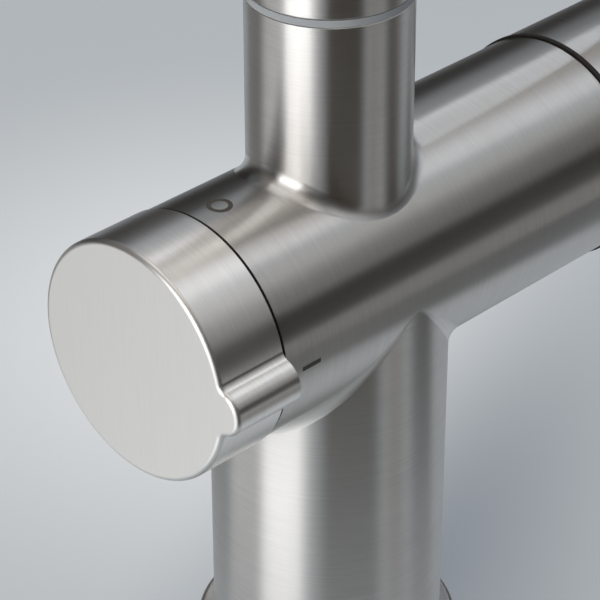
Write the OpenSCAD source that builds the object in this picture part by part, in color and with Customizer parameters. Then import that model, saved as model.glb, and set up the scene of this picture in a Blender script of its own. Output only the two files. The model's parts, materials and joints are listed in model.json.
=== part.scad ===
// Cross-body kitchen mixer with a side lever, a swivel spout and a quarter-turn appliance valve.
// The origin is on the column's axis in the plane of the worktop. +Z is up, the barrel lies along X
// with the lever at +X and the appliance valve at -X, and the spout points to the front, -Y.

/* [Barrel and column] */
// Diameter of the upright column
column_d = 44.9; // [43:0.1:50]
// Diameter of the horizontal barrel
barrel_d = 45; // [43.5:0.5:50]
// Height of the barrel's axis over the worktop
axis_height = 90; // [86:1:110]
// Barrel length from the column's axis to the appliance valve's end
valve_reach = 33.3; // [33.3:0.1:36]
// Barrel length from the column's axis to the lever's end
lever_reach = 61; // [60:0.5:75]
// Diameter of the stub that carries the spout
stub_d = 30; // [29:0.5:36]
// Height of the stub's top over the barrel's axis
stub_rise = 54.2; // [53:0.2:70]
// Radius of the blend between the stub and the barrel
stub_blend_r = 3; // [2:0.5:4]
// Radius of the blend between the column and the barrel
column_blend_r = 4; // [2:0.5:6]
// Bevel on the body's turned edges
edge_bevel = 0.3; // [0.1:0.1:0.5]

/* [Position marks] */
// Distance of the marks from the barrel's end
mark_inset = 6.3; // [5:0.1:10]
// Outer diameter of the round mark for closed
mark_ring_d = 4.6; // [3:0.1:6]
// Width of the round mark's line
mark_line = 0.85; // [0.5:0.05:1.2]
// Length of the straight mark for open
mark_dash_length = 4.4; // [3:0.1:6]
// Depth of the marks in the barrel
mark_depth = 0.3; // [0.2:0.05:0.5]

/* [Waterways] */
// Tapping bore of the three hose sockets, thread M10 x 1
inlet_d = 9; // [8.9:0.05:9.2]
// Depth of the hose sockets
inlet_depth = 12; // [9:0.5:14]
// Diameter of the circle that the hose sockets lie on
inlet_circle_d = 18; // [17:0.5:18.5]
// Diameter of the hot and cold risers
riser_d = 6; // [4:0.5:6.5]
// Diameter of the riser for mixed water
mixed_riser_d = 6.4; // [4:0.2:6.6]
// Diameter of the way to the appliance
appliance_way_d = 4.4; // [3:0.2:5]
// Wall left between neighbouring waterways
way_wall = 2.2; // [1.6:0.1:2.4]
// Diameter of the hollow for the hoses in the column
hose_space_d = 31; // [30:0.5:31.5]
// Height of that hollow's roof over the worktop
hose_space_top = 46; // [40:1:52]

/* [Foot and clamping] */
// Outer diameter of the base ring
base_ring_d = 51.4; // [49:0.2:60]
// Height of the base ring over the worktop
base_ring_h = 8.2; // [6:0.1:12]
// Thickness of the base ring's floor under the column
column_foot = 3.2; // [2.5:0.1:4]
// Width of the base ring's seal
base_seal_w = 3.6; // [2:0.2:4]
// Thickness of the base ring's seal
base_seal_t = 1.7; // [1:0.1:2]
// Outer diameter of the threaded shank, thread M33 x 1.5
shank_d = 32.8; // [32.5:0.1:33]
// Bore of the shank, for the hoses
shank_bore_d = 27.8; // [27.7:0.1:28.5]
// Length of the shank's thread inside the column
shank_grip = 14; // [10:0.5:18]
// Length of the shank under the worktop
shank_drop = 58; // [58:1:80]
// Diameter of the plain end under the shank's thread
shank_nose_d = 31; // [30.6:0.1:31.4]
// Length of that plain end
shank_nose_h = 7; // [4:0.5:7]
// Thickness of the worktop that the mixer is shown clamped to
worktop_t = 30; // [10:1:32]
// Outer diameter of the clamping washers
washer_d = 54; // [46:1:60]
// Thickness of the rubber washer
rubber_washer_t = 3; // [2:0.5:4]
// Thickness of the steel washer
steel_washer_t = 2; // [1.5:0.5:3]
// Width of the clamping nut over its flats
nut_af = 46; // [42:1:50]
// Height of the clamping nut
nut_h = 9; // [6:0.5:10]

/* [Spout] */
// Wall of the spout tube
spout_wall = 1.5; // [1.2:0.1:1.6]
// Height of the ring between stub and spout
spout_ring_h = 1.3; // [1:0.1:3]
// Radius of the spout's arc, at the middle of the tube
arc_r = 95; // [60:5:130]
// Height of the outlet over the worktop
outlet_height = 236; // [180:2:300]
// Straight length of the tube between its arc and the outlet
outlet_drop = 44; // [20:1:90]
// Diameter of the socket in the stub
socket_d = 24; // [22:0.5:24.5]
// Depth of the socket in the stub
socket_depth = 28.2; // [28:0.2:29]
// Water bore of the spout's nipple
nipple_bore_d = 15; // [10:0.5:16]
// Length of the nipple inside the spout tube
nipple_plug_h = 17; // [10:1:25]
// Thread diameter of the screw that holds the spout
stop_screw_d = 4; // [3:0.5:5]
// Swing of the spout to each side
swivel_limit = 60; // [30:5:70]

/* [Outlet] */
// Length of the threaded bush in the outlet
outlet_bush_h = 15; // [14:0.5:20]
// Outer diameter of the aerator's housing
aerator_d = 23.1; // [22:0.1:23.4]
// Height of the aerator's housing
aerator_h = 12; // [10:0.5:13]
// Diameter of the holes in the aerator's screen
screen_hole_d = 1.8; // [1:0.1:2]

/* [Appliance valve] */
// Depth of the valve's seat from the barrel's end
valve_depth = 21.3; // [21:0.1:21.5]
// Diameter of the headwork's thread
headwork_thread_d = 20.7; // [20:0.1:21]
// Width of the headwork's hexagon over its flats
headwork_af = 22; // [20:0.5:24]
// Diameter of the recess round the headwork
headwork_recess_d = 39; // [30:0.5:39]
// Diameter of the valve's ceramic discs
valve_disc_d = 14; // [13:0.2:14.2]
// Thickness of each ceramic disc of the valve
valve_disc_t = 2; // [1.6:0.1:2]
// Diameter of the valve's spindle
valve_spindle_d = 9; // [8:0.2:10]
// Diameter of the spindle's splined end
spline_d = 8; // [7:0.2:8.4]

/* [Appliance valve knob] */
// Diameter of the knob
knob_d = 45.5; // [44:0.1:51]
// Length of the knob
knob_length = 14.7; // [14:0.1:20]
// Gap between the knob and the barrel
knob_gap = 0.5; // [0.3:0.1:1]
// Wall of the knob
knob_wall = 2.85; // [2:0.05:3]
// Thickness of the knob's face
knob_face_t = 2.6; // [2:0.1:3]
// Radius of the knob's front edge
knob_edge_r = 1; // [0.5:0.1:1.5]
// Reach of the finger lug from the knob's axis
lug_reach = 26.5; // [26:0.1:30]
// Radius of the lug's crest
lug_crest_r = 4.5; // [3:0.1:6]
// Radius of the hollow beside the lug
lug_hollow_r = 2; // [1:0.1:4]

/* [Lever cartridge] */
// Diameter of the cartridge
cartridge_d = 34.6; // [34:0.1:34.8]
// Depth of the cartridge's seat from the barrel's end
cartridge_depth = 34; // [34:0.1:36]
// Thickness of the cartridge's base
cartridge_base_t = 5; // [4:0.1:5]
// Thickness of the fixed ceramic disc
fixed_disc_t = 4; // [3:0.1:4]
// Diameter of the fixed ceramic disc
fixed_disc_d = 28.8; // [28.4:0.1:29.4]
// Thickness of the moving ceramic disc
moving_disc_t = 3; // [2.5:0.1:3]
// Diameter of the moving ceramic disc
moving_disc_d = 23.6; // [23.6:0.1:24]
// Thickness of the disc's carrier
carrier_t = 3.2; // [3:0.1:3.4]
// Diameter of the stem's ball
stem_ball_d = 3.8; // [3:0.1:4]
// Level of the tilt pin over the cartridge's seat
pivot_level = 25.3; // [25:0.1:25.6]
// Diameter of the tilt pin
pivot_pin_d = 3; // [2.5:0.1:3.4]
// Width of the stem's square
stem_w = 7; // [6:0.2:7.2]
// Tilt of the lever from closed to fully open
lift_limit = 22; // [15:1:22]

/* [Lever] */
// Diameter of the lever's hub
hub_d = 45.4; // [45:0.1:46]
// Length of the lever's hub
hub_length = 42; // [38:0.5:50]
// Wall of the lever's hub
hub_wall = 2.8; // [2:0.1:2.9]
// Thickness of the hub's end
hub_end_t = 3; // [2:0.1:4]
// Thickness of the dark ring between barrel and hub
slide_ring_t = 1; // [0.6:0.1:1.2]
// Gap between that ring and the hub
hub_gap = 0.2; // [0.2:0.1:0.6]
// Diameter of the lever's rod
rod_d = 8; // [6:0.5:10]
// Height of the rod's tip over the barrel's axis
rod_reach = 115; // [70:5:140]
// Distance of the rod from the hub's near edge
rod_station = 31; // [29:0.5:32]

/* [Hidden] */
$fn = 96;

// Clearances and the overrun of every cut
overrun = 1;
running_fit = 0.08;
thread_fit = 0.08;
pin_fit = 0.04;
loose_fit = 0.3;
seal_gap = 0.02;

// Radii of the main cylinders
column_r = column_d / 2;
barrel_r = barrel_d / 2;
stub_r = stub_d / 2;

// Steps of the blends, and how far their edges sink into what they join
blend_steps = 48;
blend_arc_steps = 6;
blend_sink = 0.05;
blend_root_share = 0.5;
column_blend_half_angle = 74;

// Waterways. The inlets lie at even angles round the column's axis
inlet_angle = 60;
inlet_r = inlet_circle_d / 2;
inlet_x = inlet_r * cos(inlet_angle);
inlet_y = inlet_r * sin(inlet_angle);
port_d = 5.6;
port_up = 3.75;
port_side = 6.5;
outlet_port_down = 7.5;
mixed_chamber_d = 10;
mixed_chamber_start = 9;
feed_drop = 5.2;
feed_d = 4.4;
feed_entry = 2;
riser_start = hose_space_top + inlet_depth;

// Levels and radii of the appliance valve, from its seat outward
valve_seat_x = valve_reach - valve_depth;
appliance_way_x = valve_seat_x - way_wall - appliance_way_d / 2;
valve_seat_bore_d = 5.2;
valve_chamber_r = 9.6;
valve_chamber_h = 8.4;
headwork_flange_level = 14;
headwork_skirt_r = 8.4;
headwork_skirt_start = 0.4;
headwork_hex_h = 4.5;
headwork_neck_r = 7;
headwork_neck_top = valve_depth + knob_gap;
headwork_window_w = 7;
headwork_window_h = 2.8;
valve_seal_t = 1.4;
valve_seal_w = 1.2;
valve_fixed_level = valve_seal_t;
valve_moving_level = valve_fixed_level + valve_disc_t + seal_gap;
valve_driver_level = valve_moving_level + valve_disc_t + loose_fit / 2;
valve_driver_top = valve_chamber_h - loose_fit;
valve_port_r = 1.9;
valve_port_offset = 3.9;
valve_key_w = 2.4;
valve_key_l = 9;
valve_key_h = 0.8;
valve_seal_levels = [11.2, 15.6];
valve_oring_d = 1.4;
valve_oring_groove_w = 1.9;
circlip_t = 0.8;
circlip_level = headwork_neck_top + loose_fit / 2;
circlip_groove_r = 3.9;
circlip_r = 6;
circlip_mouth = 5;
spline_start = circlip_level + circlip_t + loose_fit;
headwork_seal_t = 1;
headwork_seal_w = 1.5;

// The knob, from its near edge outward
knob_r = knob_d / 2;
knob_start = valve_depth + knob_gap;
knob_end = knob_start + knob_length;
knob_boss_r = 9.5;
knob_boss_start = spline_start + loose_fit;
knob_insert_r = 7;
knob_insert_end = knob_end - knob_face_t - 2 * loose_fit;
spline_end = knob_insert_end - loose_fit;
knob_screw_d = 4;
knob_screw_level = (knob_boss_start + knob_insert_end) / 2;
lug_crest_y = lug_reach - lug_crest_r;
lug_hollow_far = knob_r + lug_hollow_r;
lug_hollow_near = lug_crest_r + lug_hollow_r;
lug_hollow_y = (pow(lug_hollow_far, 2) - pow(lug_hollow_near, 2) + pow(lug_crest_y, 2)) / (2 * lug_crest_y);
lug_hollow_x = sqrt(pow(lug_hollow_far, 2) - pow(lug_hollow_y, 2));
lug_overlap = 0.02;

// Levels and radii of the lever's cartridge, from its seat outward
lever_seat_x = lever_reach - cartridge_depth;
cartridge_r = cartridge_d / 2;
cartridge_bore_r = cartridge_r + loose_fit;
cartridge_cavity_r = 15;
moving_level = cartridge_base_t + fixed_disc_t + seal_gap;
carrier_level = moving_level + moving_disc_t;
carrier_top = carrier_level + carrier_t;
carrier_r = 10.8;
turret_flange_level = carrier_top + running_fit;
turret_flange_r = 14.7;
turret_flange_top = 19.2;
cartridge_roof_level = turret_flange_top + running_fit;
cartridge_shoulder = 22.5;
cartridge_neck_r = 13.5;
cartridge_neck_top = 29;
turret_neck_r = 11.5;
turret_top = 29.6;
turret_slot_up = 8.4;
turret_slot_down = 6.2;
ball_level = carrier_level + stem_ball_d / 2 + pin_fit;
flow_travel = (pivot_level - ball_level) * sin(lift_limit);
disc_offset = -flow_travel / 2;
disc_pocket_r = 6;
disc_pocket_offset = -2;
disc_pocket_depth = 1.6;
locating_pin_r = 1.9;
locating_pin_h = 2.6;
locating_pin_up = 4;
locating_pin_side = 13.2;
port_seal_w = 2;
port_seal_t = 1.5;
cartridge_nut_r = 18.95;
cartridge_nut_bore_r = cartridge_neck_r + loose_fit / 2;
cartridge_nut_top = 30.2;
cartridge_nut_slot_w = 4;
cartridge_nut_slot_h = 3;

// The ring that covers the nut is a zone of a sphere about the tilt pin
cover_skirt_start = cartridge_nut_top + loose_fit;
cover_skirt_r = cartridge_nut_r - pin_fit;
cover_skirt_wall = 1.3;
cover_sphere_r = 21.6;
cover_wall = 1.2;
cover_mouth_r = 16;

// The lever's hub, from the cartridge's seat outward
hub_r = hub_d / 2;
slide_ring_r = 22.9;
slide_ring_bore_r = 20;
slide_ring_top = cartridge_depth + slide_ring_t;
hub_start = slide_ring_top + hub_gap;
hub_end = hub_start + hub_length;
hub_edge_r = 1;
hub_boss_r = 8.5;
hub_boss_start = 42;
hub_socket_end = 57;
hub_lift_gap = 0.3;
stem_top = hub_socket_end - loose_fit;
stem_arm_r = 1.5;
stem_square_start = 18;
rod_r = rod_d / 2;
rod_level = hub_start + rod_station;
rod_thread_r = 2.95;
rod_thread_start = 12;
rod_seat = 20.6;
rod_boss_r = 7;
hub_screw_level = 50;
hub_screw_d = 4;
hub_plug_r = 2.85;
hub_plug_t = 2.2;
hub_plug_inset = 0.1;

// The foot and the clamping pieces
base_ring_r = base_ring_d / 2;
base_ring_edge_r = 1.2;
base_ring_bevel = 0.4;
base_seal_edge = 1.6;
shank_r = shank_d / 2;
shank_nose_r = shank_nose_d / 2;
shank_top = column_foot + shank_grip;
shank_bevel = 1;

// The spout
stub_top = axis_height + stub_rise;
socket_r = socket_d / 2;
socket_floor = stub_top - socket_depth;
spout_play = 0.1;
spout_start = stub_top + spout_play + spout_ring_h;
spout_bore_r = stub_r - spout_wall;
nipple_r = socket_r - running_fit;
nipple_start = socket_floor + spout_play + loose_fit;
nipple_seal_levels = [5, 21.5];
nipple_seal_d = 2;
nipple_groove_w = 2.6;
stop_level = 13.2;
stop_groove_w = 3.4;
stop_groove_depth = 1.7;
stop_nose_r = 1.5;
stop_margin = 1;
stop_swing = swivel_limit + stop_margin + asin(stop_nose_r / (nipple_r - stop_groove_depth));
bearing_level = 8.4;
bearing_w = 2;
bearing_t = 0.75;

// The outlet and the height of the arc's centre
outlet_y = -2 * arc_r;
arc_height = outlet_height + outlet_drop;
outlet_inset = 1;
outlet_bush_r = spout_bore_r - pin_fit;
aerator_r = aerator_d / 2;
aerator_wall = 1.7;
aerator_inset = 0.6;
aerator_seal_t = 1.5;
aerator_seal_w = 1.6;
screen_t = 1;
screen_pitch = 2.6;
screen_rings = 3;
core_notch_r = 1.1;
core_notches = 12;

// A cylinder with its two edges bevelled
module bevelled(r, h, bevel) {
    rotate_extrude()
        polygon([[0, 0], [r - bevel, 0], [r, bevel], [r, h - bevel], [r - bevel, h], [0, h]]);
}

// A plain ring that stands on its lower face
module ring(outer, inner, h) {
    difference() {
        cylinder(r = outer, h = h);
        translate([0, 0, -overrun])
            cylinder(r = inner, h = h + 2 * overrun);
    }
}

// A round seal: the circle of the given thickness turned about the axis
module round_seal(outer, thickness) {
    rotate_extrude()
        translate([outer - thickness / 2, 0])
            circle(d = thickness);
}

// The lever's axis: z runs outward from the cartridge's seat, x is up and y is to the front
module on_lever_axis() {
    translate([lever_seat_x, 0, axis_height])
        rotate([0, 90, 0])
            rotate([0, 0, 180])
                children();
}

// The valve's axis: z runs outward from the valve's seat, x is up and y is to the back
module on_valve_axis() {
    translate([-valve_seat_x, 0, axis_height])
        rotate([0, -90, 0])
            children();
}

// Centre of a ball that rolls in the corner between the barrel and an upright of radius r
function ball_centre(r, ball, a, side) =
    let (y = (r + ball) * sin(a))
    [(r + ball) * cos(a), y, side * sqrt(pow(barrel_r + ball, 2) - y * y)];

// Unit directions from that centre to where the ball touches the upright and the barrel
function to_upright(a) = [-cos(a), -sin(a), 0];
function to_barrel(c) = [0, -c[1], -c[2]] / norm([0, c[1], c[2]]);

// Point of the blend's arc at the share t of the way from the upright to the barrel
function arc_point(c, u, v, ball, t) =
    let (w = acos(u * v))
    c + ball * (sin((1 - t) * w) * u + sin(t * w) * v) / sin(w);

// One section of the blend: a root inside both cylinders, and the arc between sunk ends
function blend_section(r, ball, a, side) =
    let (
        c = ball_centre(r, ball, a, side),
        u = to_upright(a),
        v = to_barrel(c),
        root_r = r - ball * blend_root_share,
        root_z = sqrt(pow(barrel_r, 2) - pow(r * sin(a), 2)) - ball * blend_root_share
    )
    concat(
        [[root_r * cos(a), root_r * sin(a), side * root_z]],
        [c + (ball + blend_sink) * u],
        [for (i = [1 : blend_arc_steps - 1]) arc_point(c, u, v, ball, i / blend_arc_steps)],
        [c + (ball + blend_sink) * v]
    );

// A closed blend all round an upright
module round_blend(r, ball, side) {
    n = blend_arc_steps + 2;
    points = [for (i = [0 : blend_steps - 1]) each blend_section(r, ball, i * 360 / blend_steps, side)];
    faces = [
        for (i = [0 : blend_steps - 1], j = [0 : n - 1], half = [0, 1])
            let (
                p = i * n + j,
                q = i * n + (j + 1) % n,
                s = ((i + 1) % blend_steps) * n + j,
                t = ((i + 1) % blend_steps) * n + (j + 1) % n
            )
            side > 0 ? (half == 0 ? [p, q, t] : [p, t, s]) : (half == 0 ? [p, t, q] : [p, s, t])
    ];
    translate([0, 0, axis_height])
        polyhedron(points = points, faces = faces);
}

// A blend over an arc of the upright, centred on the angle middle, with flat ends
module part_blend(r, ball, side, middle) {
    n = blend_arc_steps + 2;
    steps = blend_steps / 2;
    turn = 2 * column_blend_half_angle / steps;
    start = middle - column_blend_half_angle;
    points = [for (i = [0 : steps]) each blend_section(r, ball, start + i * turn, side)];
    sides = [
        for (i = [0 : steps - 1], j = [0 : n - 1], half = [0, 1])
            let (
                p = i * n + j,
                q = i * n + (j + 1) % n,
                s = (i + 1) * n + j,
                t = (i + 1) * n + (j + 1) % n
            )
            side > 0 ? (half == 0 ? [p, q, t] : [p, t, s]) : (half == 0 ? [p, t, q] : [p, s, t])
    ];
    last = steps * n;
    caps = [
        for (j = [1 : n - 2])
            each [
                side > 0 ? [0, j + 1, j] : [0, j, j + 1],
                side > 0 ? [last, last + j, last + j + 1] : [last, last + j + 1, last + j]
            ]
    ];
    translate([0, 0, axis_height])
        polyhedron(points = points, faces = concat(sides, caps));
}

// A skin of the barrel, from the given depth under its surface to the given height over it
module barrel_skin(depth, height) {
    translate([-valve_reach, 0, axis_height])
        rotate([0, 90, 0])
            ring(barrel_r + height, barrel_r - depth, valve_reach);
}

// The two marks as upright and level prisms, enlarged by the given amount
module mark_prisms(grow) {
    translate([mark_inset - valve_reach, 0, axis_height]) {
        ring(mark_ring_d / 2 + grow, mark_ring_d / 2 - mark_line - grow, barrel_r + overrun);
        translate([-mark_dash_length / 2 - grow, -barrel_r - overrun, -mark_line / 2 - grow])
            cube([mark_dash_length + 2 * grow, barrel_r, mark_line + 2 * grow]);
    }
}

module position_marks() {
    color("#5a5048")
        intersection() {
            mark_prisms(0);
            barrel_skin(mark_depth, 0);
        }
}

// The outside of the body: column, barrel and stub with their blends
module body_outside() {
    translate([0, 0, column_foot])
        bevelled(column_r, axis_height - column_foot, edge_bevel);
    translate([-valve_reach, 0, axis_height])
        rotate([0, 90, 0])
            bevelled(barrel_r, valve_reach + lever_reach, edge_bevel);
    translate([0, 0, axis_height])
        bevelled(stub_r, stub_rise, edge_bevel);
    round_blend(stub_r, stub_blend_r, 1);
    for (middle = [0, 180])
        part_blend(column_r, column_blend_r, -1, middle);
}

// The bore of the lever's cartridge with its ports and locating holes
module cartridge_bores() {
    on_lever_axis() {
        cylinder(r = cartridge_bore_r, h = cartridge_depth + overrun);
        translate([0, 0, cartridge_shoulder])
            cylinder(r = cartridge_nut_r + thread_fit, h = cartridge_depth);
        for (front = [-1, 1]) {
            translate([port_up, front * port_side, inlet_x - lever_seat_x])
                cylinder(d = port_d, h = lever_seat_x - inlet_x + overrun);
            translate([locating_pin_up, front * locating_pin_side, -locating_pin_h - loose_fit])
                cylinder(r = locating_pin_r + running_fit, h = locating_pin_h + overrun);
        }
        translate([-outlet_port_down, 0, -lever_seat_x])
            cylinder(d = mixed_riser_d, h = lever_seat_x + overrun);
    }
}

// The bore of the appliance valve, its outlet and its feed from the cold riser
module valve_bores() {
    on_valve_axis() {
        cylinder(r = valve_chamber_r, h = headwork_flange_level);
        translate([0, 0, valve_chamber_h])
            cylinder(d = headwork_thread_d + 2 * thread_fit, h = headwork_flange_level);
        translate([0, 0, headwork_flange_level])
            cylinder(d = headwork_recess_d, h = valve_depth);
        translate([0, 0, appliance_way_x - valve_seat_x])
            cylinder(d = valve_seat_bore_d, h = valve_seat_x - appliance_way_x + overrun);
        translate([-feed_drop, -inlet_y, -valve_seat_x - inlet_x])
            cylinder(d = feed_d, h = valve_seat_x + inlet_x + feed_entry);
    }
}

// The hose sockets and the risers over them
module riser_bores() {
    for (place = [[inlet_x, inlet_y], [inlet_x, -inlet_y]])
        translate([place[0], place[1], riser_start - overrun])
            cylinder(d = riser_d, h = axis_height + port_up - riser_start + overrun);
    for (place = [[inlet_x, inlet_y], [inlet_x, -inlet_y], [-inlet_r, 0]])
        translate([place[0], place[1], hose_space_top - overrun])
            cylinder(d = inlet_d, h = inlet_depth + overrun);
    translate([-appliance_way_x, 0, riser_start - overrun])
        cylinder(d = appliance_way_d, h = axis_height - riser_start + overrun);
    translate([0, 0, axis_height - outlet_port_down])
        cylinder(d = mixed_riser_d, h = socket_floor - axis_height + outlet_port_down);
    translate([0, 0, axis_height + mixed_chamber_start])
        cylinder(d = mixed_chamber_d, h = socket_floor - axis_height - mixed_chamber_start + overrun);
}

module body() {
    color("#b4b1ad")
        difference() {
            body_outside();
            cartridge_bores();
            valve_bores();
            riser_bores();
            translate([0, 0, column_foot - overrun])
                cylinder(d = hose_space_d, h = hose_space_top - column_foot + overrun);
            translate([0, 0, column_foot - overrun])
                cylinder(r = shank_r + thread_fit, h = shank_grip + loose_fit + overrun);
            translate([0, 0, socket_floor])
                cylinder(r = socket_r, h = socket_depth + overrun);
            translate([0, 0, nipple_start + stop_level])
                rotate([-90, 0, 0])
                    cylinder(d = stop_screw_d + 2 * thread_fit, h = stub_r + overrun);
            intersection() {
                mark_prisms(seal_gap);
                barrel_skin(mark_depth + seal_gap, overrun);
            }
        }
}

// The base ring: a cup for the column's foot, with a groove for its seal
module base_ring() {
    color("#b9b7b3")
        difference() {
            rotate_extrude() {
                polygon([
                    [shank_r + loose_fit, 0],
                    [base_ring_r - base_ring_bevel, 0],
                    [base_ring_r, base_ring_bevel],
                    [base_ring_r, base_ring_h - base_ring_edge_r],
                    [base_ring_r - base_ring_edge_r, base_ring_h - base_ring_edge_r],
                    [base_ring_r - base_ring_edge_r, base_ring_h],
                    [shank_r + loose_fit, base_ring_h]
                ]);
                translate([base_ring_r - base_ring_edge_r, base_ring_h - base_ring_edge_r])
                    intersection() {
                        circle(r = base_ring_edge_r);
                        square(base_ring_edge_r);
                    }
            }
            translate([0, 0, column_foot])
                cylinder(r = column_r + running_fit, h = base_ring_h);
            translate([0, 0, -overrun])
                ring(base_ring_r - base_seal_edge, base_ring_r - base_seal_edge - base_seal_w,
                    base_seal_t + overrun);
        }
}

module base_seal() {
    color("#2b2b2b")
        ring(base_ring_r - base_seal_edge - seal_gap,
            base_ring_r - base_seal_edge - base_seal_w + seal_gap, base_seal_t);
}

// The shank: a threaded tube whose plain end leads it through the worktop's hole
module shank() {
    color("#c9a65a")
        rotate_extrude()
            polygon([
                [shank_bore_d / 2, -shank_drop],
                [shank_nose_r - shank_bevel, -shank_drop],
                [shank_nose_r, shank_bevel - shank_drop],
                [shank_nose_r, shank_nose_h - shank_drop],
                [shank_r, shank_nose_h - shank_drop + shank_r - shank_nose_r],
                [shank_r, shank_top - shank_bevel],
                [shank_r - shank_bevel, shank_top],
                [shank_bore_d / 2, shank_top]
            ]);
}

module rubber_washer() {
    color("#2b2b2b")
        translate([0, 0, -worktop_t - rubber_washer_t])
            ring(washer_d / 2, shank_r + loose_fit, rubber_washer_t);
}

module steel_washer() {
    color("#a8a8a8")
        translate([0, 0, -worktop_t - rubber_washer_t - steel_washer_t])
            ring(washer_d / 2, shank_r + loose_fit, steel_washer_t);
}

module shank_nut() {
    color("#c9a65a")
        translate([0, 0, -worktop_t - rubber_washer_t - steel_washer_t - nut_h])
            difference() {
                cylinder(d = nut_af / cos(30), h = nut_h, $fn = 6);
                translate([0, 0, -overrun])
                    cylinder(r = shank_r + thread_fit, h = nut_h + 2 * overrun);
            }
}

// The cartridge's three ports, at the given bore
module cartridge_ports(bore_d, h) {
    for (front = [-1, 1])
        translate([port_up, front * port_side, 0])
            cylinder(d = bore_d, h = h);
    translate([-outlet_port_down, 0, 0])
        cylinder(d = bore_d, h = h);
}

module cartridge_base() {
    color("#d8d8d4")
        on_lever_axis() {
            difference() {
                cylinder(r = cartridge_r, h = cartridge_base_t);
                translate([0, 0, -overrun])
                    cartridge_ports(port_d, cartridge_base_t + 2 * overrun);
                translate([0, 0, -overrun])
                    cartridge_ports(port_d + 2 * port_seal_w, port_seal_t + overrun);
            }
            for (front = [-1, 1])
                translate([locating_pin_up, front * locating_pin_side, -locating_pin_h])
                    cylinder(r = locating_pin_r, h = locating_pin_h + overrun);
        }
}

module cartridge_port_seals() {
    color("#2b2b2b")
        on_lever_axis()
            difference() {
                cartridge_ports(port_d + 2 * port_seal_w - 2 * seal_gap, port_seal_t);
                translate([0, 0, -overrun])
                    cartridge_ports(port_d, port_seal_t + 2 * overrun);
            }
}

module cartridge_housing() {
    color("#4a4d50")
        on_lever_axis()
            difference() {
                union() {
                    translate([0, 0, cartridge_base_t])
                        cylinder(r = cartridge_r, h = cartridge_shoulder - cartridge_base_t);
                    translate([0, 0, cartridge_base_t])
                        cylinder(r = cartridge_neck_r, h = cartridge_neck_top - cartridge_base_t);
                }
                translate([0, 0, cartridge_base_t - overrun])
                    cylinder(r = cartridge_cavity_r, h = cartridge_roof_level - cartridge_base_t + overrun);
                translate([0, 0, cartridge_base_t])
                    cylinder(r = turret_neck_r + running_fit, h = cartridge_neck_top);
            }
}

module fixed_disc() {
    color("#efece4")
        on_lever_axis()
            translate([0, 0, cartridge_base_t])
                difference() {
                    cylinder(d = fixed_disc_d, h = fixed_disc_t);
                    translate([0, 0, -overrun])
                        cartridge_ports(port_d, fixed_disc_t + 2 * overrun);
                }
}

// The nut that holds the cartridge down, with slots for its key
module cartridge_nut() {
    color("#c9a65a")
        on_lever_axis()
            difference() {
                translate([0, 0, cartridge_shoulder])
                    ring(cartridge_nut_r, cartridge_nut_bore_r, cartridge_nut_top - cartridge_shoulder);
                for (turn = [0, 90])
                    rotate([0, 0, turn])
                        translate([-cartridge_nut_r, -cartridge_nut_slot_w / 2,
                            cartridge_nut_top - cartridge_nut_slot_h])
                            cube([2 * cartridge_nut_r, cartridge_nut_slot_w, cartridge_nut_slot_h + overrun]);
            }
}

// The ring over the nut: a skirt in the barrel's bore under a zone of a sphere
module cover_ring() {
    color("#8f8d8a")
        on_lever_axis() {
            translate([0, 0, cover_skirt_start])
                ring(cover_skirt_r, cover_skirt_r - cover_skirt_wall, cartridge_depth - cover_skirt_start);
            difference() {
                translate([0, 0, pivot_level])
                    sphere(r = cover_sphere_r);
                translate([0, 0, pivot_level])
                    sphere(r = cover_sphere_r - cover_wall);
                translate([0, 0, cartridge_depth - 2 * cover_sphere_r])
                    cylinder(r = cover_sphere_r + overrun, h = 2 * cover_sphere_r);
                cylinder(r = cover_mouth_r, h = cartridge_depth + cover_sphere_r);
            }
        }
}

module hub_slide_ring() {
    color("#1d1d1f")
        on_lever_axis()
            translate([0, 0, cartridge_depth])
                ring(slide_ring_r, slide_ring_bore_r, slide_ring_t);
}

// The turret turns in the housing's neck and carries the tilt pin
module cartridge_turret() {
    color("#e6e4dd")
        on_lever_axis()
            difference() {
                union() {
                    translate([0, 0, turret_flange_level])
                        cylinder(r = turret_flange_r, h = turret_flange_top - turret_flange_level);
                    translate([0, 0, turret_flange_level])
                        cylinder(r = turret_neck_r, h = turret_top - turret_flange_level);
                }
                translate([-turret_slot_down, -stem_w / 2 - running_fit, turret_flange_level - overrun])
                    cube([turret_slot_down + turret_slot_up, stem_w + 2 * running_fit, turret_top]);
                translate([0, -turret_flange_r, pivot_level])
                    rotate([-90, 0, 0])
                        cylinder(d = pivot_pin_d + 2 * pin_fit, h = 2 * turret_flange_r);
            }
}

module tilt_pin() {
    color("#a8a8a8")
        on_lever_axis()
            translate([0, loose_fit - turret_neck_r, pivot_level])
                rotate([-90, 0, 0])
                    cylinder(d = pivot_pin_d, h = 2 * (turret_neck_r - loose_fit));
}

// The moving disc: its pocket joins the ports when the lever is tilted
module moving_disc() {
    color("#efece4")
        on_lever_axis()
            translate([disc_offset, 0, moving_level])
                difference() {
                    cylinder(d = moving_disc_d, h = moving_disc_t);
                    translate([disc_pocket_offset, 0, -overrun])
                        cylinder(r = disc_pocket_r, h = disc_pocket_depth + overrun);
                }
}

module disc_carrier() {
    color("#4a4d50")
        on_lever_axis()
            difference() {
                translate([disc_offset, 0, carrier_level])
                    cylinder(r = carrier_r, h = carrier_t);
                translate([0, 0, carrier_level - overrun])
                    cylinder(d = stem_ball_d + 4 * pin_fit, h = carrier_t + 2 * overrun);
            }
}

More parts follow.
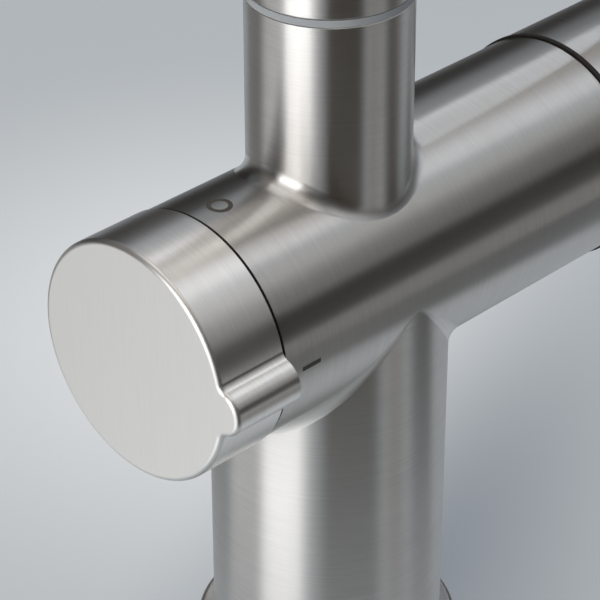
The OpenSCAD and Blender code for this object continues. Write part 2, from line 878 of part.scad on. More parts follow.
// The stem: a ball in the carrier, an arm, and a square that the hub sits on
module lever_stem() {
    color("#c9a65a")
        on_lever_axis()
            difference() {
                union() {
                    translate([0, 0, ball_level])
                        sphere(d = stem_ball_d);
                    translate([0, 0, ball_level])
                        cylinder(r = stem_arm_r, h = stem_square_start - ball_level + overrun);
                    translate([-stem_w / 2, -stem_w / 2, stem_square_start])
                        cube([stem_w, stem_w, stem_top - stem_square_start]);
                }
                translate([0, -stem_w, pivot_level])
                    rotate([-90, 0, 0])
                        cylinder(d = pivot_pin_d + 2 * pin_fit, h = 2 * stem_w);
            }
}

// The space that the hub may fill: whatever stays over the slide ring when the lever is tilted
module hub_room() {
    translate([0, 0, pivot_level])
        rotate([0, lift_limit, 0])
            translate([-hub_end, -hub_end, slide_ring_top + hub_lift_gap - pivot_level])
                cube(2 * hub_end);
}

module lever_hub() {
    color("#b4b1ad")
        on_lever_axis()
            difference() {
                intersection() {
                    union() {
                        difference() {
                            translate([0, 0, hub_start])
                                rotate_extrude() {
                                    square([hub_r - hub_edge_r, hub_length]);
                                    square([hub_r, hub_length - hub_edge_r]);
                                    translate([hub_r - hub_edge_r, hub_length - hub_edge_r])
                                        circle(r = hub_edge_r);
                                }
                            translate([0, 0, hub_start - overrun])
                                cylinder(r = hub_r - hub_wall, h = hub_length - hub_end_t + overrun);
                        }
                        translate([0, 0, hub_boss_start])
                            cylinder(r = hub_boss_r, h = hub_end - hub_end_t / 2 - hub_boss_start);
                        translate([0, 0, rod_level])
                            rotate([0, 90, 0])
                                cylinder(r = rod_boss_r, h = hub_r - hub_wall / 2);
                    }
                    hub_room();
                }
                translate([-stem_w / 2 - pin_fit, -stem_w / 2 - pin_fit, hub_boss_start - overrun])
                    cube([stem_w + 2 * pin_fit, stem_w + 2 * pin_fit,
                        hub_socket_end - hub_boss_start + overrun]);
                translate([rod_thread_start - loose_fit, 0, rod_level])
                    rotate([0, 90, 0])
                        cylinder(r = rod_thread_r + thread_fit, h = hub_r);
                translate([rod_seat, 0, rod_level])
                    rotate([0, 90, 0])
                        cylinder(r = rod_r + running_fit, h = hub_r);
                translate([0, 0, hub_screw_level])
                    rotate([0, -90, 0])
                        cylinder(d = hub_screw_d + 2 * thread_fit, h = hub_r);
                translate([loose_fit + hub_wall - hub_r, 0, hub_screw_level])
                    rotate([0, -90, 0])
                        cylinder(r = hub_plug_r + pin_fit, h = hub_r);
            }
}

// The rod: a threaded root in the hub and a shaft with a domed tip
module lever_rod() {
    color("#bdbab6")
        on_lever_axis()
            translate([0, 0, rod_level])
                rotate([0, 90, 0]) {
                    translate([0, 0, rod_thread_start])
                        cylinder(r = rod_thread_r, h = rod_seat - rod_thread_start + overrun);
                    translate([0, 0, rod_seat + pin_fit])
                        cylinder(r = rod_r, h = rod_reach - rod_r - rod_seat - pin_fit);
                    translate([0, 0, rod_reach - rod_r])
                        sphere(r = rod_r);
                }
}

module hub_grub_screw() {
    color("#8a8a8a")
        on_lever_axis()
            translate([-stem_w / 2 - pin_fit, 0, hub_screw_level])
                rotate([0, -90, 0])
                    cylinder(d = hub_screw_d, h = hub_boss_r - stem_w / 2);
}

module hub_plug() {
    color("#9a9894")
        on_lever_axis()
            translate([hub_plug_inset + hub_plug_t - hub_r, 0, hub_screw_level])
                rotate([0, -90, 0])
                    cylinder(r = hub_plug_r, h = hub_plug_t);
}

// The headwork: thread, hexagon and neck over a skirt that holds the discs
module valve_headwork() {
    color("#c9a65a")
        on_valve_axis()
            difference() {
                union() {
                    translate([0, 0, headwork_skirt_start])
                        cylinder(r = headwork_skirt_r, h = headwork_flange_level - headwork_skirt_start);
                    translate([0, 0, valve_chamber_h + loose_fit])
                        cylinder(d = headwork_thread_d,
                            h = headwork_flange_level - valve_chamber_h - loose_fit + overrun);
                    translate([0, 0, headwork_flange_level + headwork_seal_t])
                        cylinder(d = headwork_af / cos(30), h = headwork_hex_h - headwork_seal_t, $fn = 6);
                    translate([0, 0, headwork_flange_level])
                        cylinder(r = headwork_neck_r, h = headwork_neck_top - headwork_flange_level);
                }
                cylinder(d = valve_disc_d + 2 * loose_fit, h = valve_chamber_h);
                cylinder(d = valve_spindle_d + 2 * running_fit, h = 2 * headwork_neck_top);
                translate([-valve_chamber_r, -headwork_window_w / 2, valve_moving_level])
                    cube([2 * valve_chamber_r, headwork_window_w, headwork_window_h]);
            }
}

module valve_headwork_seal() {
    color("#2b2b2b")
        on_valve_axis()
            translate([0, 0, headwork_flange_level])
                ring(headwork_thread_d / 2 + headwork_seal_w, headwork_thread_d / 2 + seal_gap,
                    headwork_seal_t);
}

module valve_seat_seal() {
    color("#2b2b2b")
        on_valve_axis()
            ring(valve_disc_d / 2, valve_disc_d / 2 - valve_seal_w, valve_seal_t);
}

module valve_fixed_disc() {
    color("#efece4")
        on_valve_axis()
            translate([0, 0, valve_fixed_level])
                difference() {
                    cylinder(d = valve_disc_d, h = valve_disc_t);
                    for (up = [-1, 1])
                        translate([up * valve_port_offset, 0, -overrun])
                            cylinder(r = valve_port_r, h = valve_disc_t + 2 * overrun);
                }
}

// The key that turns the moving disc, enlarged by the given amount
module valve_key(grow) {
    translate([-valve_key_w / 2 - grow, -valve_key_l / 2 - grow, 0])
        cube([valve_key_w + 2 * grow, valve_key_l + 2 * grow, valve_key_h + loose_fit]);
}

module valve_moving_disc() {
    color("#efece4")
        on_valve_axis()
            translate([0, 0, valve_moving_level])
                difference() {
                    cylinder(d = valve_disc_d, h = valve_disc_t);
                    for (up = [-1, 1])
                        translate([up * valve_disc_d / 2, 0, -overrun])
                            cylinder(r = valve_port_offset, h = valve_disc_t + 2 * overrun);
                    translate([0, 0, valve_disc_t - valve_key_h])
                        valve_key(pin_fit);
                }
}

module valve_spindle() {
    color("#c9a65a")
        on_valve_axis()
            difference() {
                union() {
                    translate([0, 0, valve_moving_level + valve_disc_t - valve_key_h + pin_fit])
                        valve_key(0);
                    translate([0, 0, valve_driver_level])
                        cylinder(d = valve_disc_d, h = valve_driver_top - valve_driver_level);
                    translate([0, 0, valve_driver_level])
                        cylinder(d = valve_spindle_d, h = spline_start - valve_driver_level);
                    translate([0, 0, valve_driver_level])
                        cylinder(d = spline_d, h = spline_end - valve_driver_level);
                }
                for (level = valve_seal_levels)
                    translate([0, 0, level - valve_oring_groove_w / 2])
                        ring(valve_spindle_d, valve_spindle_d / 2 - valve_oring_d + running_fit,
                            valve_oring_groove_w);
                translate([0, 0, circlip_level - pin_fit])
                    ring(valve_spindle_d, circlip_groove_r, circlip_t + 2 * pin_fit);
            }
}

module valve_spindle_seals() {
    color("#2b2b2b")
        on_valve_axis()
            for (level = valve_seal_levels)
                translate([0, 0, level])
                    round_seal(valve_spindle_d / 2 + running_fit - seal_gap,
                        valve_oring_d - 2 * seal_gap);
}

module valve_circlip() {
    color("#8a8a8a")
        on_valve_axis()
            translate([0, 0, circlip_level])
                difference() {
                    ring(circlip_r, circlip_groove_r + seal_gap, circlip_t);
                    translate([-circlip_mouth / 2, 0, -overrun])
                        cube([circlip_mouth, 2 * circlip_r, circlip_t + 2 * overrun]);
                }
}

// Outline of the knob: its circle, the lug's crest and the two hollows between them
module knob_outline() {
    circle(r = knob_r);
    translate([0, -lug_crest_y])
        circle(r = lug_crest_r);
    difference() {
        polygon([
            [0, 0],
            [-lug_hollow_x * knob_r / lug_hollow_far, -lug_hollow_y * knob_r / lug_hollow_far],
            [-lug_hollow_x, -lug_hollow_y],
            [-lug_hollow_x * lug_crest_r / lug_hollow_near,
                -lug_crest_y + (lug_crest_y - lug_hollow_y) * lug_crest_r / lug_hollow_near],
            [lug_hollow_x * lug_crest_r / lug_hollow_near,
                -lug_crest_y + (lug_crest_y - lug_hollow_y) * lug_crest_r / lug_hollow_near],
            [lug_hollow_x, -lug_hollow_y],
            [lug_hollow_x * knob_r / lug_hollow_far, -lug_hollow_y * knob_r / lug_hollow_far]
        ]);
        for (side = [-1, 1])
            translate([side * lug_hollow_x, -lug_hollow_y])
                circle(r = lug_hollow_r + lug_overlap);
    }
}

module valve_knob() {
    color("#b4b1ad")
        on_valve_axis()
            difference() {
                union() {
                    translate([0, 0, knob_start])
                        linear_extrude(knob_length - knob_edge_r)
                            knob_outline();
                    translate([0, 0, knob_start])
                        rotate_extrude() {
                            square([knob_r - knob_edge_r, knob_length]);
                            translate([knob_r - knob_edge_r, knob_length - knob_edge_r])
                                circle(r = knob_edge_r);
                        }
                    translate([0, -lug_crest_y, knob_start])
                        bevelled(lug_crest_r - seal_gap, knob_length, knob_edge_r / 2);
                }
                difference() {
                    translate([0, 0, knob_start - overrun])
                        cylinder(r = knob_r - knob_wall, h = knob_length - knob_face_t + overrun);
                    translate([0, 0, knob_boss_start])
                        cylinder(r = knob_boss_r, h = knob_length);
                }
                translate([0, 0, knob_boss_start - overrun])
                    cylinder(r = knob_insert_r + pin_fit,
                        h = knob_insert_end + loose_fit - knob_boss_start + overrun);
                translate([0, 0, knob_screw_level])
                    rotate([0, -90, 0])
                        cylinder(d = knob_screw_d + 2 * thread_fit, h = knob_r + overrun);
            }
}

module knob_insert() {
    color("#e6e4dd")
        on_valve_axis()
            difference() {
                translate([0, 0, knob_boss_start])
                    ring(knob_insert_r, spline_d / 2 + pin_fit, knob_insert_end - knob_boss_start);
                translate([0, 0, knob_screw_level])
                    rotate([0, -90, 0])
                        cylinder(d = knob_screw_d + 2 * thread_fit, h = knob_insert_r + overrun);
            }
}

module knob_grub_screw() {
    color("#8a8a8a")
        on_valve_axis()
            translate([-spline_d / 2 - pin_fit, 0, knob_screw_level])
                rotate([0, -90, 0])
                    cylinder(d = knob_screw_d, h = knob_boss_r - spline_d / 2);
}

// The line of the spout at the given radius: riser, half ring and drop
module spout_form(r, longer) {
    translate([0, 0, spout_start - longer])
        cylinder(r = r, h = arc_height - spout_start + longer);
    translate([0, -arc_r, arc_height])
        rotate([90, 0, 90])
            rotate_extrude(angle = 180)
                translate([arc_r, 0])
                    circle(r = r);
    translate([0, outlet_y, outlet_height - longer])
        cylinder(r = r, h = outlet_drop + longer);
}

module spout_tube() {
    color("#b4b1ad")
        difference() {
            spout_form(stub_r, 0);
            spout_form(spout_bore_r, overrun);
        }
}

// The nipple: turns in the stub, carries the spout tube and holds seals, bearing and stop groove
module spout_nipple() {
    color("#c9a65a")
        difference() {
            union() {
                translate([0, 0, nipple_start])
                    bevelled(nipple_r, spout_start - nipple_start + edge_bevel, edge_bevel);
                translate([0, 0, spout_start])
                    cylinder(r = spout_bore_r - pin_fit, h = nipple_plug_h);
            }
            translate([0, 0, nipple_start - overrun])
                cylinder(d = nipple_bore_d, h = spout_start - nipple_start + nipple_plug_h + 2 * overrun);
            for (level = nipple_seal_levels)
                translate([0, 0, nipple_start + level - nipple_groove_w / 2])
                    ring(socket_r + overrun, socket_r - nipple_seal_d, nipple_groove_w);
            translate([0, 0, nipple_start + bearing_level])
                ring(socket_r + overrun, nipple_r - bearing_t, bearing_w);
            translate([0, 0, nipple_start + stop_level - stop_groove_w / 2])
                rotate([0, 0, 90 - stop_swing])
                    rotate_extrude(angle = 2 * stop_swing)
                        translate([nipple_r - stop_groove_depth, 0])
                            square([stop_groove_depth + overrun, stop_groove_w]);
        }
}

module spout_ring() {
    color("#c3cad0")
        translate([0, 0, stub_top + spout_play])
            ring(stub_r, socket_r, spout_ring_h);
}

module spout_bearing() {
    color("#e6e4dd")
        translate([0, 0, nipple_start + bearing_level + seal_gap])
            ring(socket_r - seal_gap, nipple_r - bearing_t + seal_gap, bearing_w - 2 * seal_gap);
}

module spout_seals() {
    color("#2b2b2b")
        for (level = nipple_seal_levels)
            translate([0, 0, nipple_start + level])
                round_seal(socket_r - seal_gap, nipple_seal_d - 2 * seal_gap);
}

// The screw in the back of the stub, whose nose runs in the nipple's groove
module spout_stop_screw() {
    color("#8a8a8a")
        translate([0, 0, nipple_start + stop_level])
            rotate([-90, 0, 0]) {
                translate([0, 0, nipple_r - stop_groove_depth + loose_fit])
                    cylinder(r = stop_nose_r, h = stub_r - nipple_r);
                translate([0, 0, socket_r + running_fit])
                    cylinder(d = stop_screw_d, h = stub_r - socket_r - loose_fit);
            }
}

module outlet_bush() {
    color("#c9a65a")
        translate([0, outlet_y, outlet_height + outlet_inset])
            difference() {
                cylinder(r = outlet_bush_r, h = outlet_bush_h);
                translate([0, 0, -overrun])
                    cylinder(r = aerator_r + thread_fit,
                        h = aerator_h + aerator_seal_t + aerator_inset - outlet_inset + overrun);
                cylinder(r = aerator_r - aerator_seal_w, h = outlet_bush_h + overrun);
            }
}

module aerator_housing() {
    color("#9fa0a2")
        translate([0, outlet_y, outlet_height + aerator_inset])
            ring(aerator_r, aerator_r - aerator_wall, aerator_h);
}

// The core: a plug with water notches round its edge
module aerator_core() {
    core_r = aerator_r - aerator_wall - pin_fit;
    color("#dfe0e0")
        translate([0, outlet_y, outlet_height + aerator_inset + 2 * screen_t])
            difference() {
                cylinder(r = core_r, h = aerator_h - 2 * screen_t);
                for (i = [0 : core_notches - 1])
                    rotate([0, 0, i * 360 / core_notches])
                        translate([core_r, 0, -overrun])
                            cylinder(r = core_notch_r, h = aerator_h + overrun);
            }
}

// The screen: rings of round holes
module aerator_screen() {
    color("#8d8f91")
        translate([0, outlet_y, outlet_height + aerator_inset + screen_t / 2])
            difference() {
                cylinder(r = aerator_r - aerator_wall - pin_fit, h = screen_t);
                translate([0, 0, -overrun])
                    cylinder(d = screen_hole_d, h = screen_t + 2 * overrun);
                for (k = [1 : screen_rings], i = [0 : 6 * k - 1])
                    rotate([0, 0, i * 60 / k])
                        translate([k * screen_pitch, 0, -overrun])
                            cylinder(d = screen_hole_d, h = screen_t + 2 * overrun);
            }
}

module aerator_seal() {
    color("#2b2b2b")
        translate([0, outlet_y, outlet_height + aerator_inset + aerator_h])
            ring(aerator_r, aerator_r - aerator_seal_w, aerator_seal_t);
}

body();
position_marks();
base_ring();
base_seal();
shank();
rubber_washer();
steel_washer();
shank_nut();
cartridge_base();
cartridge_port_seals();
cartridge_housing();
fixed_disc();
cartridge_nut();
cover_ring();
hub_slide_ring();
cartridge_turret();
tilt_pin();
moving_disc();
disc_carrier();
lever_stem();
lever_hub();
lever_rod();
hub_grub_screw();
hub_plug();
valve_headwork();
valve_headwork_seal();
valve_seat_seal();
valve_fixed_disc();
valve_moving_disc();
valve_spindle();
valve_spindle_seals();
valve_circlip();
valve_knob();
knob_insert();
knob_grub_screw();
spout_tube();
spout_nipple();
spout_ring();
spout_bearing();
spout_seals();
spout_stop_screw();
outlet_bush();
aerator_housing();
aerator_core();
aerator_screen();
aerator_seal();
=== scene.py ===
"""Looks of a single lever kitchen mixer in brushed steel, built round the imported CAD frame.

Lengths of the mixer are in millimetres until a mesh is made, in the frame of the CAD model: the origin
is on the column's axis in the plane of the worktop, +Z is up, +X runs along the barrel and -Y is to the
front. The camera, the floor and all that stands round the mixer are in metres.
"""
import json
import math

import bmesh
import bpy
import numpy as np
from mathutils import Matrix, Vector


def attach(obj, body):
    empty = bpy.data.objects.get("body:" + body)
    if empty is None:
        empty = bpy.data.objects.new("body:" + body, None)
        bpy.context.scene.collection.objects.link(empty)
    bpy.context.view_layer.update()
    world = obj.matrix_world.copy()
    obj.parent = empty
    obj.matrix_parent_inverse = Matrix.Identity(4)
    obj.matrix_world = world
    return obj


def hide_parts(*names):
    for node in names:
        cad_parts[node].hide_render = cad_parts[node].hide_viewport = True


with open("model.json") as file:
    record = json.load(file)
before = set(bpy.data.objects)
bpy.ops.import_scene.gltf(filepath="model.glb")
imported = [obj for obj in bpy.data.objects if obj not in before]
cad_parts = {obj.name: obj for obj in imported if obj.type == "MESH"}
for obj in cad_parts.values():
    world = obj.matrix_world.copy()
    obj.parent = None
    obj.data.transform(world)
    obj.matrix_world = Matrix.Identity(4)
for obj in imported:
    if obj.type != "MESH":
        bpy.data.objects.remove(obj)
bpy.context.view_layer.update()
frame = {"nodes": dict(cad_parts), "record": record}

for imported in list(bpy.data.materials):
    bpy.data.materials.remove(imported)
MM = 0.001

# Camera, from the fit to the photo's edges, and its nearest and farthest distance
SENSOR = 36.0
IMAGE_WIDTH = 600
FOCAL_PIXELS = 2593.66
CAMERA_PLACE = (-0.29107, -0.28445, 0.33655)
CAMERA_PITCH = math.radians(32.11)
CAMERA_HEADING = math.radians(44.92)
CAMERA_ROLL = math.radians(-0.118)
CAMERA_NEAR, CAMERA_FAR = 0.02, 20

# Main sizes, as in the CAD model
AXIS_Z = 90.0
BARREL_R = 22.5
BARREL_LEFT, BARREL_RIGHT = -33.3, 61.0
COLUMN_R = 22.45
COLUMN_FOOT = 3.2
COLUMN_BLEND = 4.0
STUB_R = 15.0
STUB_TOP = 144.2
STUB_BLEND = 3.0
FLOOR_Z = -58.0

# Bevels of the body: at its right end and foot, on the stub's rim, and on the rim that faces the knob
EDGE = 0.3
STUB_EDGE = 0.1
SEAM_EDGE = 0.45


def make_camera():
    forward = Vector((math.sin(CAMERA_HEADING) * math.cos(CAMERA_PITCH),
                      math.cos(CAMERA_HEADING) * math.cos(CAMERA_PITCH), -math.sin(CAMERA_PITCH)))
    level = Vector((math.cos(CAMERA_HEADING), -math.sin(CAMERA_HEADING), 0))
    above = level.cross(forward)
    c, s = math.cos(CAMERA_ROLL), math.sin(CAMERA_ROLL)
    right, up = c * level + s * above, c * above - s * level
    data = bpy.data.cameras.new("camera")
    data.sensor_width = SENSOR
    data.lens = FOCAL_PIXELS * SENSOR / IMAGE_WIDTH
    data.clip_start, data.clip_end = CAMERA_NEAR, CAMERA_FAR
    camera = bpy.data.objects.new("camera", data)
    turn = Matrix((right, up, -forward)).transposed().to_4x4()
    camera.matrix_world = Matrix.Translation(CAMERA_PLACE) @ turn
    bpy.context.scene.collection.objects.link(camera)
    bpy.context.scene.camera = camera


make_camera()


# Finishes. A noise mostly stays between these two values.
NOISE_LOW, NOISE_HIGH = 0.25, 0.75

# Brushed lines: how dense their noise is across and along them, per millimetre, and its share
FINE_LINES, FINE_SHARE = (5.5, 0.11, 1), 0.6
BROAD_LINES, BROAD_SHARE = (1.7, 0.035, 1), 0.4
LINE_DARKER, LINE_LIGHTER, LINE_ROUGHNESS = 0.07, 0.05, 0.03

# Clouds in the roughness of brushed steel, in features per metre
CLOUD_SCALE, CLOUD_ROUGHNESS = 60.0, 0.015

# Mottle of the plain finishes: how much finer and coarser than the given grain its two noises are
MOTTLE_STEP, MOTTLE_ROUGHNESS = 4, 0.05


class Graph:
    """The node tree of a material or a world, with short calls for the nodes that the finishes share."""

    def __init__(self, name, owner=None):
        self.material = owner or bpy.data.materials.new(name)
        self.material.use_nodes = True
        self.tree = self.material.node_tree
        self.shader = self.tree.nodes.get("Principled BSDF")

    def node(self, kind, inputs=None, **settings):
        made = self.tree.nodes.new(kind)
        for key, value in settings.items():
            setattr(made, key, value)
        for key, value in (inputs or {}).items():
            self.set(made.inputs[key], value)
        return made

    def set(self, socket, value):
        """Links another node's output to a socket, or gives the socket a value."""
        if isinstance(value, bpy.types.NodeSocket):
            self.tree.links.new(value, socket)
        else:
            socket.default_value = value

    def paint(self, socket, color):
        """Gives a socket a colour, which is three numbers or another node's output."""
        self.set(socket, color if isinstance(color, bpy.types.NodeSocket) else (*color, 1.0))

    def surface(self, shader):
        """Puts another shader in the place of the first one."""
        self.tree.nodes.remove(self.shader)
        self.set(self.tree.nodes["Material Output"].inputs["Surface"], shader)

    def math(self, operation, *values):
        return self.node("ShaderNodeMath", dict(enumerate(values)), operation=operation).outputs[0]

    def measure(self, operation, *vectors):
        """A vector operation that gives a number, such as a length or a distance."""
        made = self.node("ShaderNodeVectorMath", dict(enumerate(vectors)), operation=operation)
        return made.outputs["Value"]

    def scaled(self, source, scale):
        return self.node("ShaderNodeVectorMath", {0: source, 1: scale}, operation="MULTIPLY").outputs[0]

    def coordinates(self, kind="Object"):
        return self.node("ShaderNodeTexCoord").outputs[kind]

    def noise(self, vector, scale, detail=3.0, dimensions="3D"):
        return self.node("ShaderNodeTexNoise", {"Vector": vector, "Scale": scale, "Detail": detail},
                         noise_dimensions=dimensions).outputs[0]

    def spread(self, factor, low, high):
        """Takes the range of a noise to values from low to high."""
        return self.node("ShaderNodeMapRange", {"Value": factor, "From Min": NOISE_LOW,
                                                "From Max": NOISE_HIGH, "To Min": low,
                                                "To Max": high}).outputs[0]

    def fade(self, value, first, last):
        """Goes softly from 0 to 1 as the value goes from first to last."""
        return self.node("ShaderNodeMapRange", {"Value": value, "From Min": first, "From Max": last},
                         interpolation_type="SMOOTHSTEP").outputs[0]

    def bump(self, height, distance):
        return self.node("ShaderNodeBump", {"Height": height, "Distance": distance,
                                            "Strength": 1.0}).outputs[0]

    def mix(self, factor, low, high):
        """Mixes two colours, each of which is three numbers or another node's output. The Mix node has
        one set of sockets for each data type, so they are found by their identifiers."""
        made = self.node("ShaderNodeMix", data_type="RGBA")
        sockets = {s.identifier: s for s in made.inputs}
        self.set(sockets["Factor_Float"], factor)
        self.paint(sockets["A_Color"], low)
        self.paint(sockets["B_Color"], high)
        return next(s for s in made.outputs if s.identifier == "Result_Color")

    def mix_shaders(self, factor, first, second):
        return self.node("ShaderNodeMixShader", {0: factor, 1: first, 2: second}).outputs[0]

    def glow(self, color):
        made = self.node("ShaderNodeEmission", {"Strength": 1.0})
        self.paint(made.inputs["Color"], color)
        return made.outputs[0]

    def seen(self):
        """1 for camera, mirror and transmission rays, and 0 for the rays that light things."""
        rays = self.node("ShaderNodeLightPath").outputs
        first = self.math("ADD", rays["Is Camera Ray"], rays["Is Glossy Ray"])
        return self.math("MINIMUM", self.math("ADD", first, rays["Is Transmission Ray"]), 1.0)


def brushed_steel(name, color, roughness, anisotropy, depth, contrast=1.0):
    """Steel with fine lines: U of the grain map runs across them and V along them, both in millimetres."""
    g = Graph(name)
    grain = g.node("ShaderNodeUVMap", uv_map="grain").outputs[0]
    fine = g.noise(g.scaled(grain, FINE_LINES), 1.0, 2.0, "2D")
    broad = g.noise(g.scaled(grain, BROAD_LINES), 1.0, 3.0, "2D")
    cloud = g.noise(g.coordinates(), CLOUD_SCALE)
    lines = g.math("ADD", g.math("MULTIPLY", fine, FINE_SHARE), g.math("MULTIPLY", broad, BROAD_SHARE))
    dark = tuple((1 - LINE_DARKER * contrast) * c for c in color)
    light = tuple(min(1.0, (1 + LINE_LIGHTER * contrast) * c) for c in color)
    g.set(g.shader.inputs["Base Color"], g.mix(g.spread(lines, 0, 1), dark, light))
    ridge = LINE_ROUGHNESS * contrast
    g.set(g.shader.inputs["Roughness"], g.math("ADD", g.spread(lines, roughness + ridge, roughness - ridge),
                                               g.spread(cloud, -CLOUD_ROUGHNESS, CLOUD_ROUGHNESS)))
    g.set(g.shader.inputs["Normal"], g.bump(lines, depth * MM))
    tangent = g.node("ShaderNodeTangent", direction_type="UV_MAP", uv_map="grain").outputs[0]
    g.set(g.shader.inputs["Tangent"], tangent)
    g.shader.inputs["Metallic"].default_value = 1.0
    g.shader.inputs["Anisotropic"].default_value = anisotropy
    return g.material


def plain_finish(name, low, high, roughness, metallic=0.0, grain=400.0, stretch=(1, 1, 1), depth=0.01,
                 coat=0.0):
    """A finish with a fine mottle in colour, roughness and height. Grain is in features per metre."""
    g = Graph(name)
    place = g.scaled(g.coordinates(), stretch)
    small = g.noise(place, grain * MOTTLE_STEP)
    large = g.noise(place, grain / MOTTLE_STEP)
    both = g.math("ADD", g.math("MULTIPLY", small, 0.5), g.math("MULTIPLY", large, 0.5))
    g.set(g.shader.inputs["Base Color"], g.mix(g.spread(both, 0, 1), low, high))
    g.set(g.shader.inputs["Roughness"], g.spread(both, roughness - MOTTLE_ROUGHNESS,
                                                 roughness + MOTTLE_ROUGHNESS))
    g.set(g.shader.inputs["Normal"], g.bump(small, depth * MM))
    g.shader.inputs["Metallic"].default_value = metallic
    g.shader.inputs["Coat Weight"].default_value = coat
    return g.material


STEEL = brushed_steel("brushed_steel", (0.66, 0.65, 0.635), 0.31, 0.95, 0.0012)
KNOB_STEEL = brushed_steel("knob_steel", (0.91, 0.90, 0.88), 0.36, 0.82, 0.0010)
FACE_STEEL = brushed_steel("face_steel", (0.735, 0.73, 0.715), 0.46, 0.8, 0.0005, 0.35)
EDGE_STEEL = brushed_steel("edge_steel", (0.72, 0.715, 0.70), 0.37, 0.3, 0.0005, 0.35)
SATIN = brushed_steel("satin_steel", (0.60, 0.59, 0.58), 0.5, 0.6, 0.003)
# Painted shade: a near-black colour for the gaps of the seams, put on the rims that face each other at the
# knob and on the slide ring at the hub
SEAM = plain_finish("seam_shade", (0.012, 0.009, 0.007), (0.03, 0.024, 0.02), 0.7, grain=700)
ENAMEL = plain_finish("mark_enamel", (0.065, 0.055, 0.046), (0.15, 0.132, 0.112), 0.55, grain=900)
RING = plain_finish("ring_plastic", (0.43, 0.455, 0.48), (0.50, 0.525, 0.555), 0.55, grain=700, depth=0.004)
BLACK = plain_finish("black_plastic", (0.014, 0.012, 0.012), (0.03, 0.026, 0.025), 0.45)
GREY = plain_finish("grey_plastic", (0.22, 0.23, 0.24), (0.28, 0.29, 0.3), 0.5)
WHITE = plain_finish("white_plastic", (0.78, 0.77, 0.73), (0.88, 0.87, 0.84), 0.42)
RUBBER = plain_finish("rubber", (0.018, 0.018, 0.019), (0.04, 0.04, 0.041), 0.72, grain=900, depth=0.02)
CERAMIC = plain_finish("ceramic", (0.86, 0.85, 0.8), (0.93, 0.92, 0.88), 0.16, grain=200, depth=0.001,
                       coat=0.3)
ZINC = plain_finish("zinc_steel", (0.56, 0.57, 0.58), (0.66, 0.67, 0.68), 0.36, 1.0, 500, depth=0.004)
BRASS = plain_finish("brass", (0.62, 0.45, 0.2), (0.8, 0.62, 0.33), 0.3, 1.0, 500, (1, 1, 6), depth=0.006)

SLOT_MATERIALS = {
    "brushed_steel": STEEL, "satin_steel": SATIN, "mark_enamel": ENAMEL, "ring_plastic": RING,
    "black_plastic": BLACK, "grey_plastic": GREY, "white_plastic": WHITE, "rubber": RUBBER,
    "ceramic": CERAMIC, "zinc_steel": ZINC, "brass": BRASS,
}

# Points that are the same to one part in this many of a millimetre are joined
JOINING = 1e4


class Shell:
    """Collects faces with exact normals and grain coordinates. Points that coincide are joined."""

    def __init__(self):
        self.index, self.points, self.faces, self.normals, self.grain = {}, [], [], [], []

    def point(self, p):
        key = tuple(int(round(c * JOINING)) for c in p)
        if key not in self.index:
            self.index[key] = len(self.points)
            self.points.append([float(c) * MM for c in p])
        return self.index[key]

    def face(self, corners):
        """Corners are (point, normal, grain). Corners that coincide count once, and the face is turned
        to the side of its normals."""
        kept = []
        for p, n, g in corners:
            i = self.point(p)
            if i not in [k[0] for k in kept]:
                kept.append((i, n, g))
        if len(kept) < 3:
            return
        a, b, c = (np.array(self.points[k[0]]) for k in (kept[0], kept[1], kept[-1]))
        if np.dot(np.cross(b - a, c - a), sum(np.asarray(k[1]) for k in kept)) < 0:
            kept.reverse()
        self.faces.append([k[0] for k in kept])
        self.normals.extend([float(c) for c in k[1]] for k in kept)
        self.grain.extend([float(c) for c in k[2]] for k in kept)

    def grid(self, points, normals, u, v):
        """Points and normals are rows x columns x 3, and u and v are rows x columns."""
        points, normals = np.asarray(points, float), np.asarray(normals, float)
        rows, columns = points.shape[:2]
        u, v = (np.broadcast_to(np.asarray(w, float), (rows, columns)) for w in (u, v))
        for r in range(rows - 1):
            for c in range(columns - 1):
                self.face([(points[i, j], normals[i, j], (u[i, j], v[i, j]))
                           for i, j in ((r, c), (r, c + 1), (r + 1, c + 1), (r + 1, c))])

    def piece(self, name, material, slot, body, *nodes):
        mesh = bpy.data.meshes.new(name)
        mesh.from_pydata(self.points, [], self.faces)
        mesh.polygons.foreach_set("use_smooth", [True] * len(mesh.polygons))
        layer = mesh.uv_layers.new(name="grain")
        layer.data.foreach_set("uv", np.array(self.grain, np.float32).ravel())
        mesh.normals_split_custom_set(self.normals)
        mesh.validate()
        place_piece(name, mesh, material, slot, body, *nodes)


def place_piece(name, mesh, material, slot, body, *nodes):
    """Makes a mesh a piece that rides a body and takes the place of the given CAD nodes."""
    piece = bpy.data.objects.new(name, mesh)
    bpy.context.scene.collection.objects.link(piece)
    mesh.materials.clear()
    mesh.materials.append(material)
    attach(piece, body)
    if nodes:
        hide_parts(*nodes)


def circle(steps):
    """Angles all round, with the first one again at the end."""
    return np.linspace(0, 2 * math.pi, steps + 1)


def travelled(points):
    """How far each point is along the line through all of them."""
    return np.concatenate([[0], np.cumsum(np.linalg.norm(np.diff(points, axis=0), axis=1))])


def arc(center, radius, first, last, steps, inward=False):
    """Part of an outline: points on an arc, with their normals. Angles are in degrees."""
    t = np.radians(np.linspace(first, last, steps + 1))
    normals = np.stack([np.cos(t), np.sin(t)], 1)
    return np.array(center) + radius * normals, -normals if inward else normals


def line(a, b, flip=False):
    """Part of a profile: a straight line, whose normal is on its right side."""
    a, b = np.array(a, float), np.array(b, float)
    d = (b - a) / np.linalg.norm(b - a)
    n = np.array([d[1], -d[0]]) * (-1 if flip else 1)
    return np.stack([a, b]), np.stack([n, n])


def path(*corners):
    """The straight parts of a profile through the given corners (radius, place along the axis)."""
    return [line(a, b) for a, b in zip(corners, corners[1:])]


def upright_axis(x=0, y=0, z=0):
    """An axis that points up: its origin, the directions of 0 and 90 degrees round it, and its own."""
    return (x, y, z), (1, 0, 0), (0, 1, 0), (0, 0, 1)


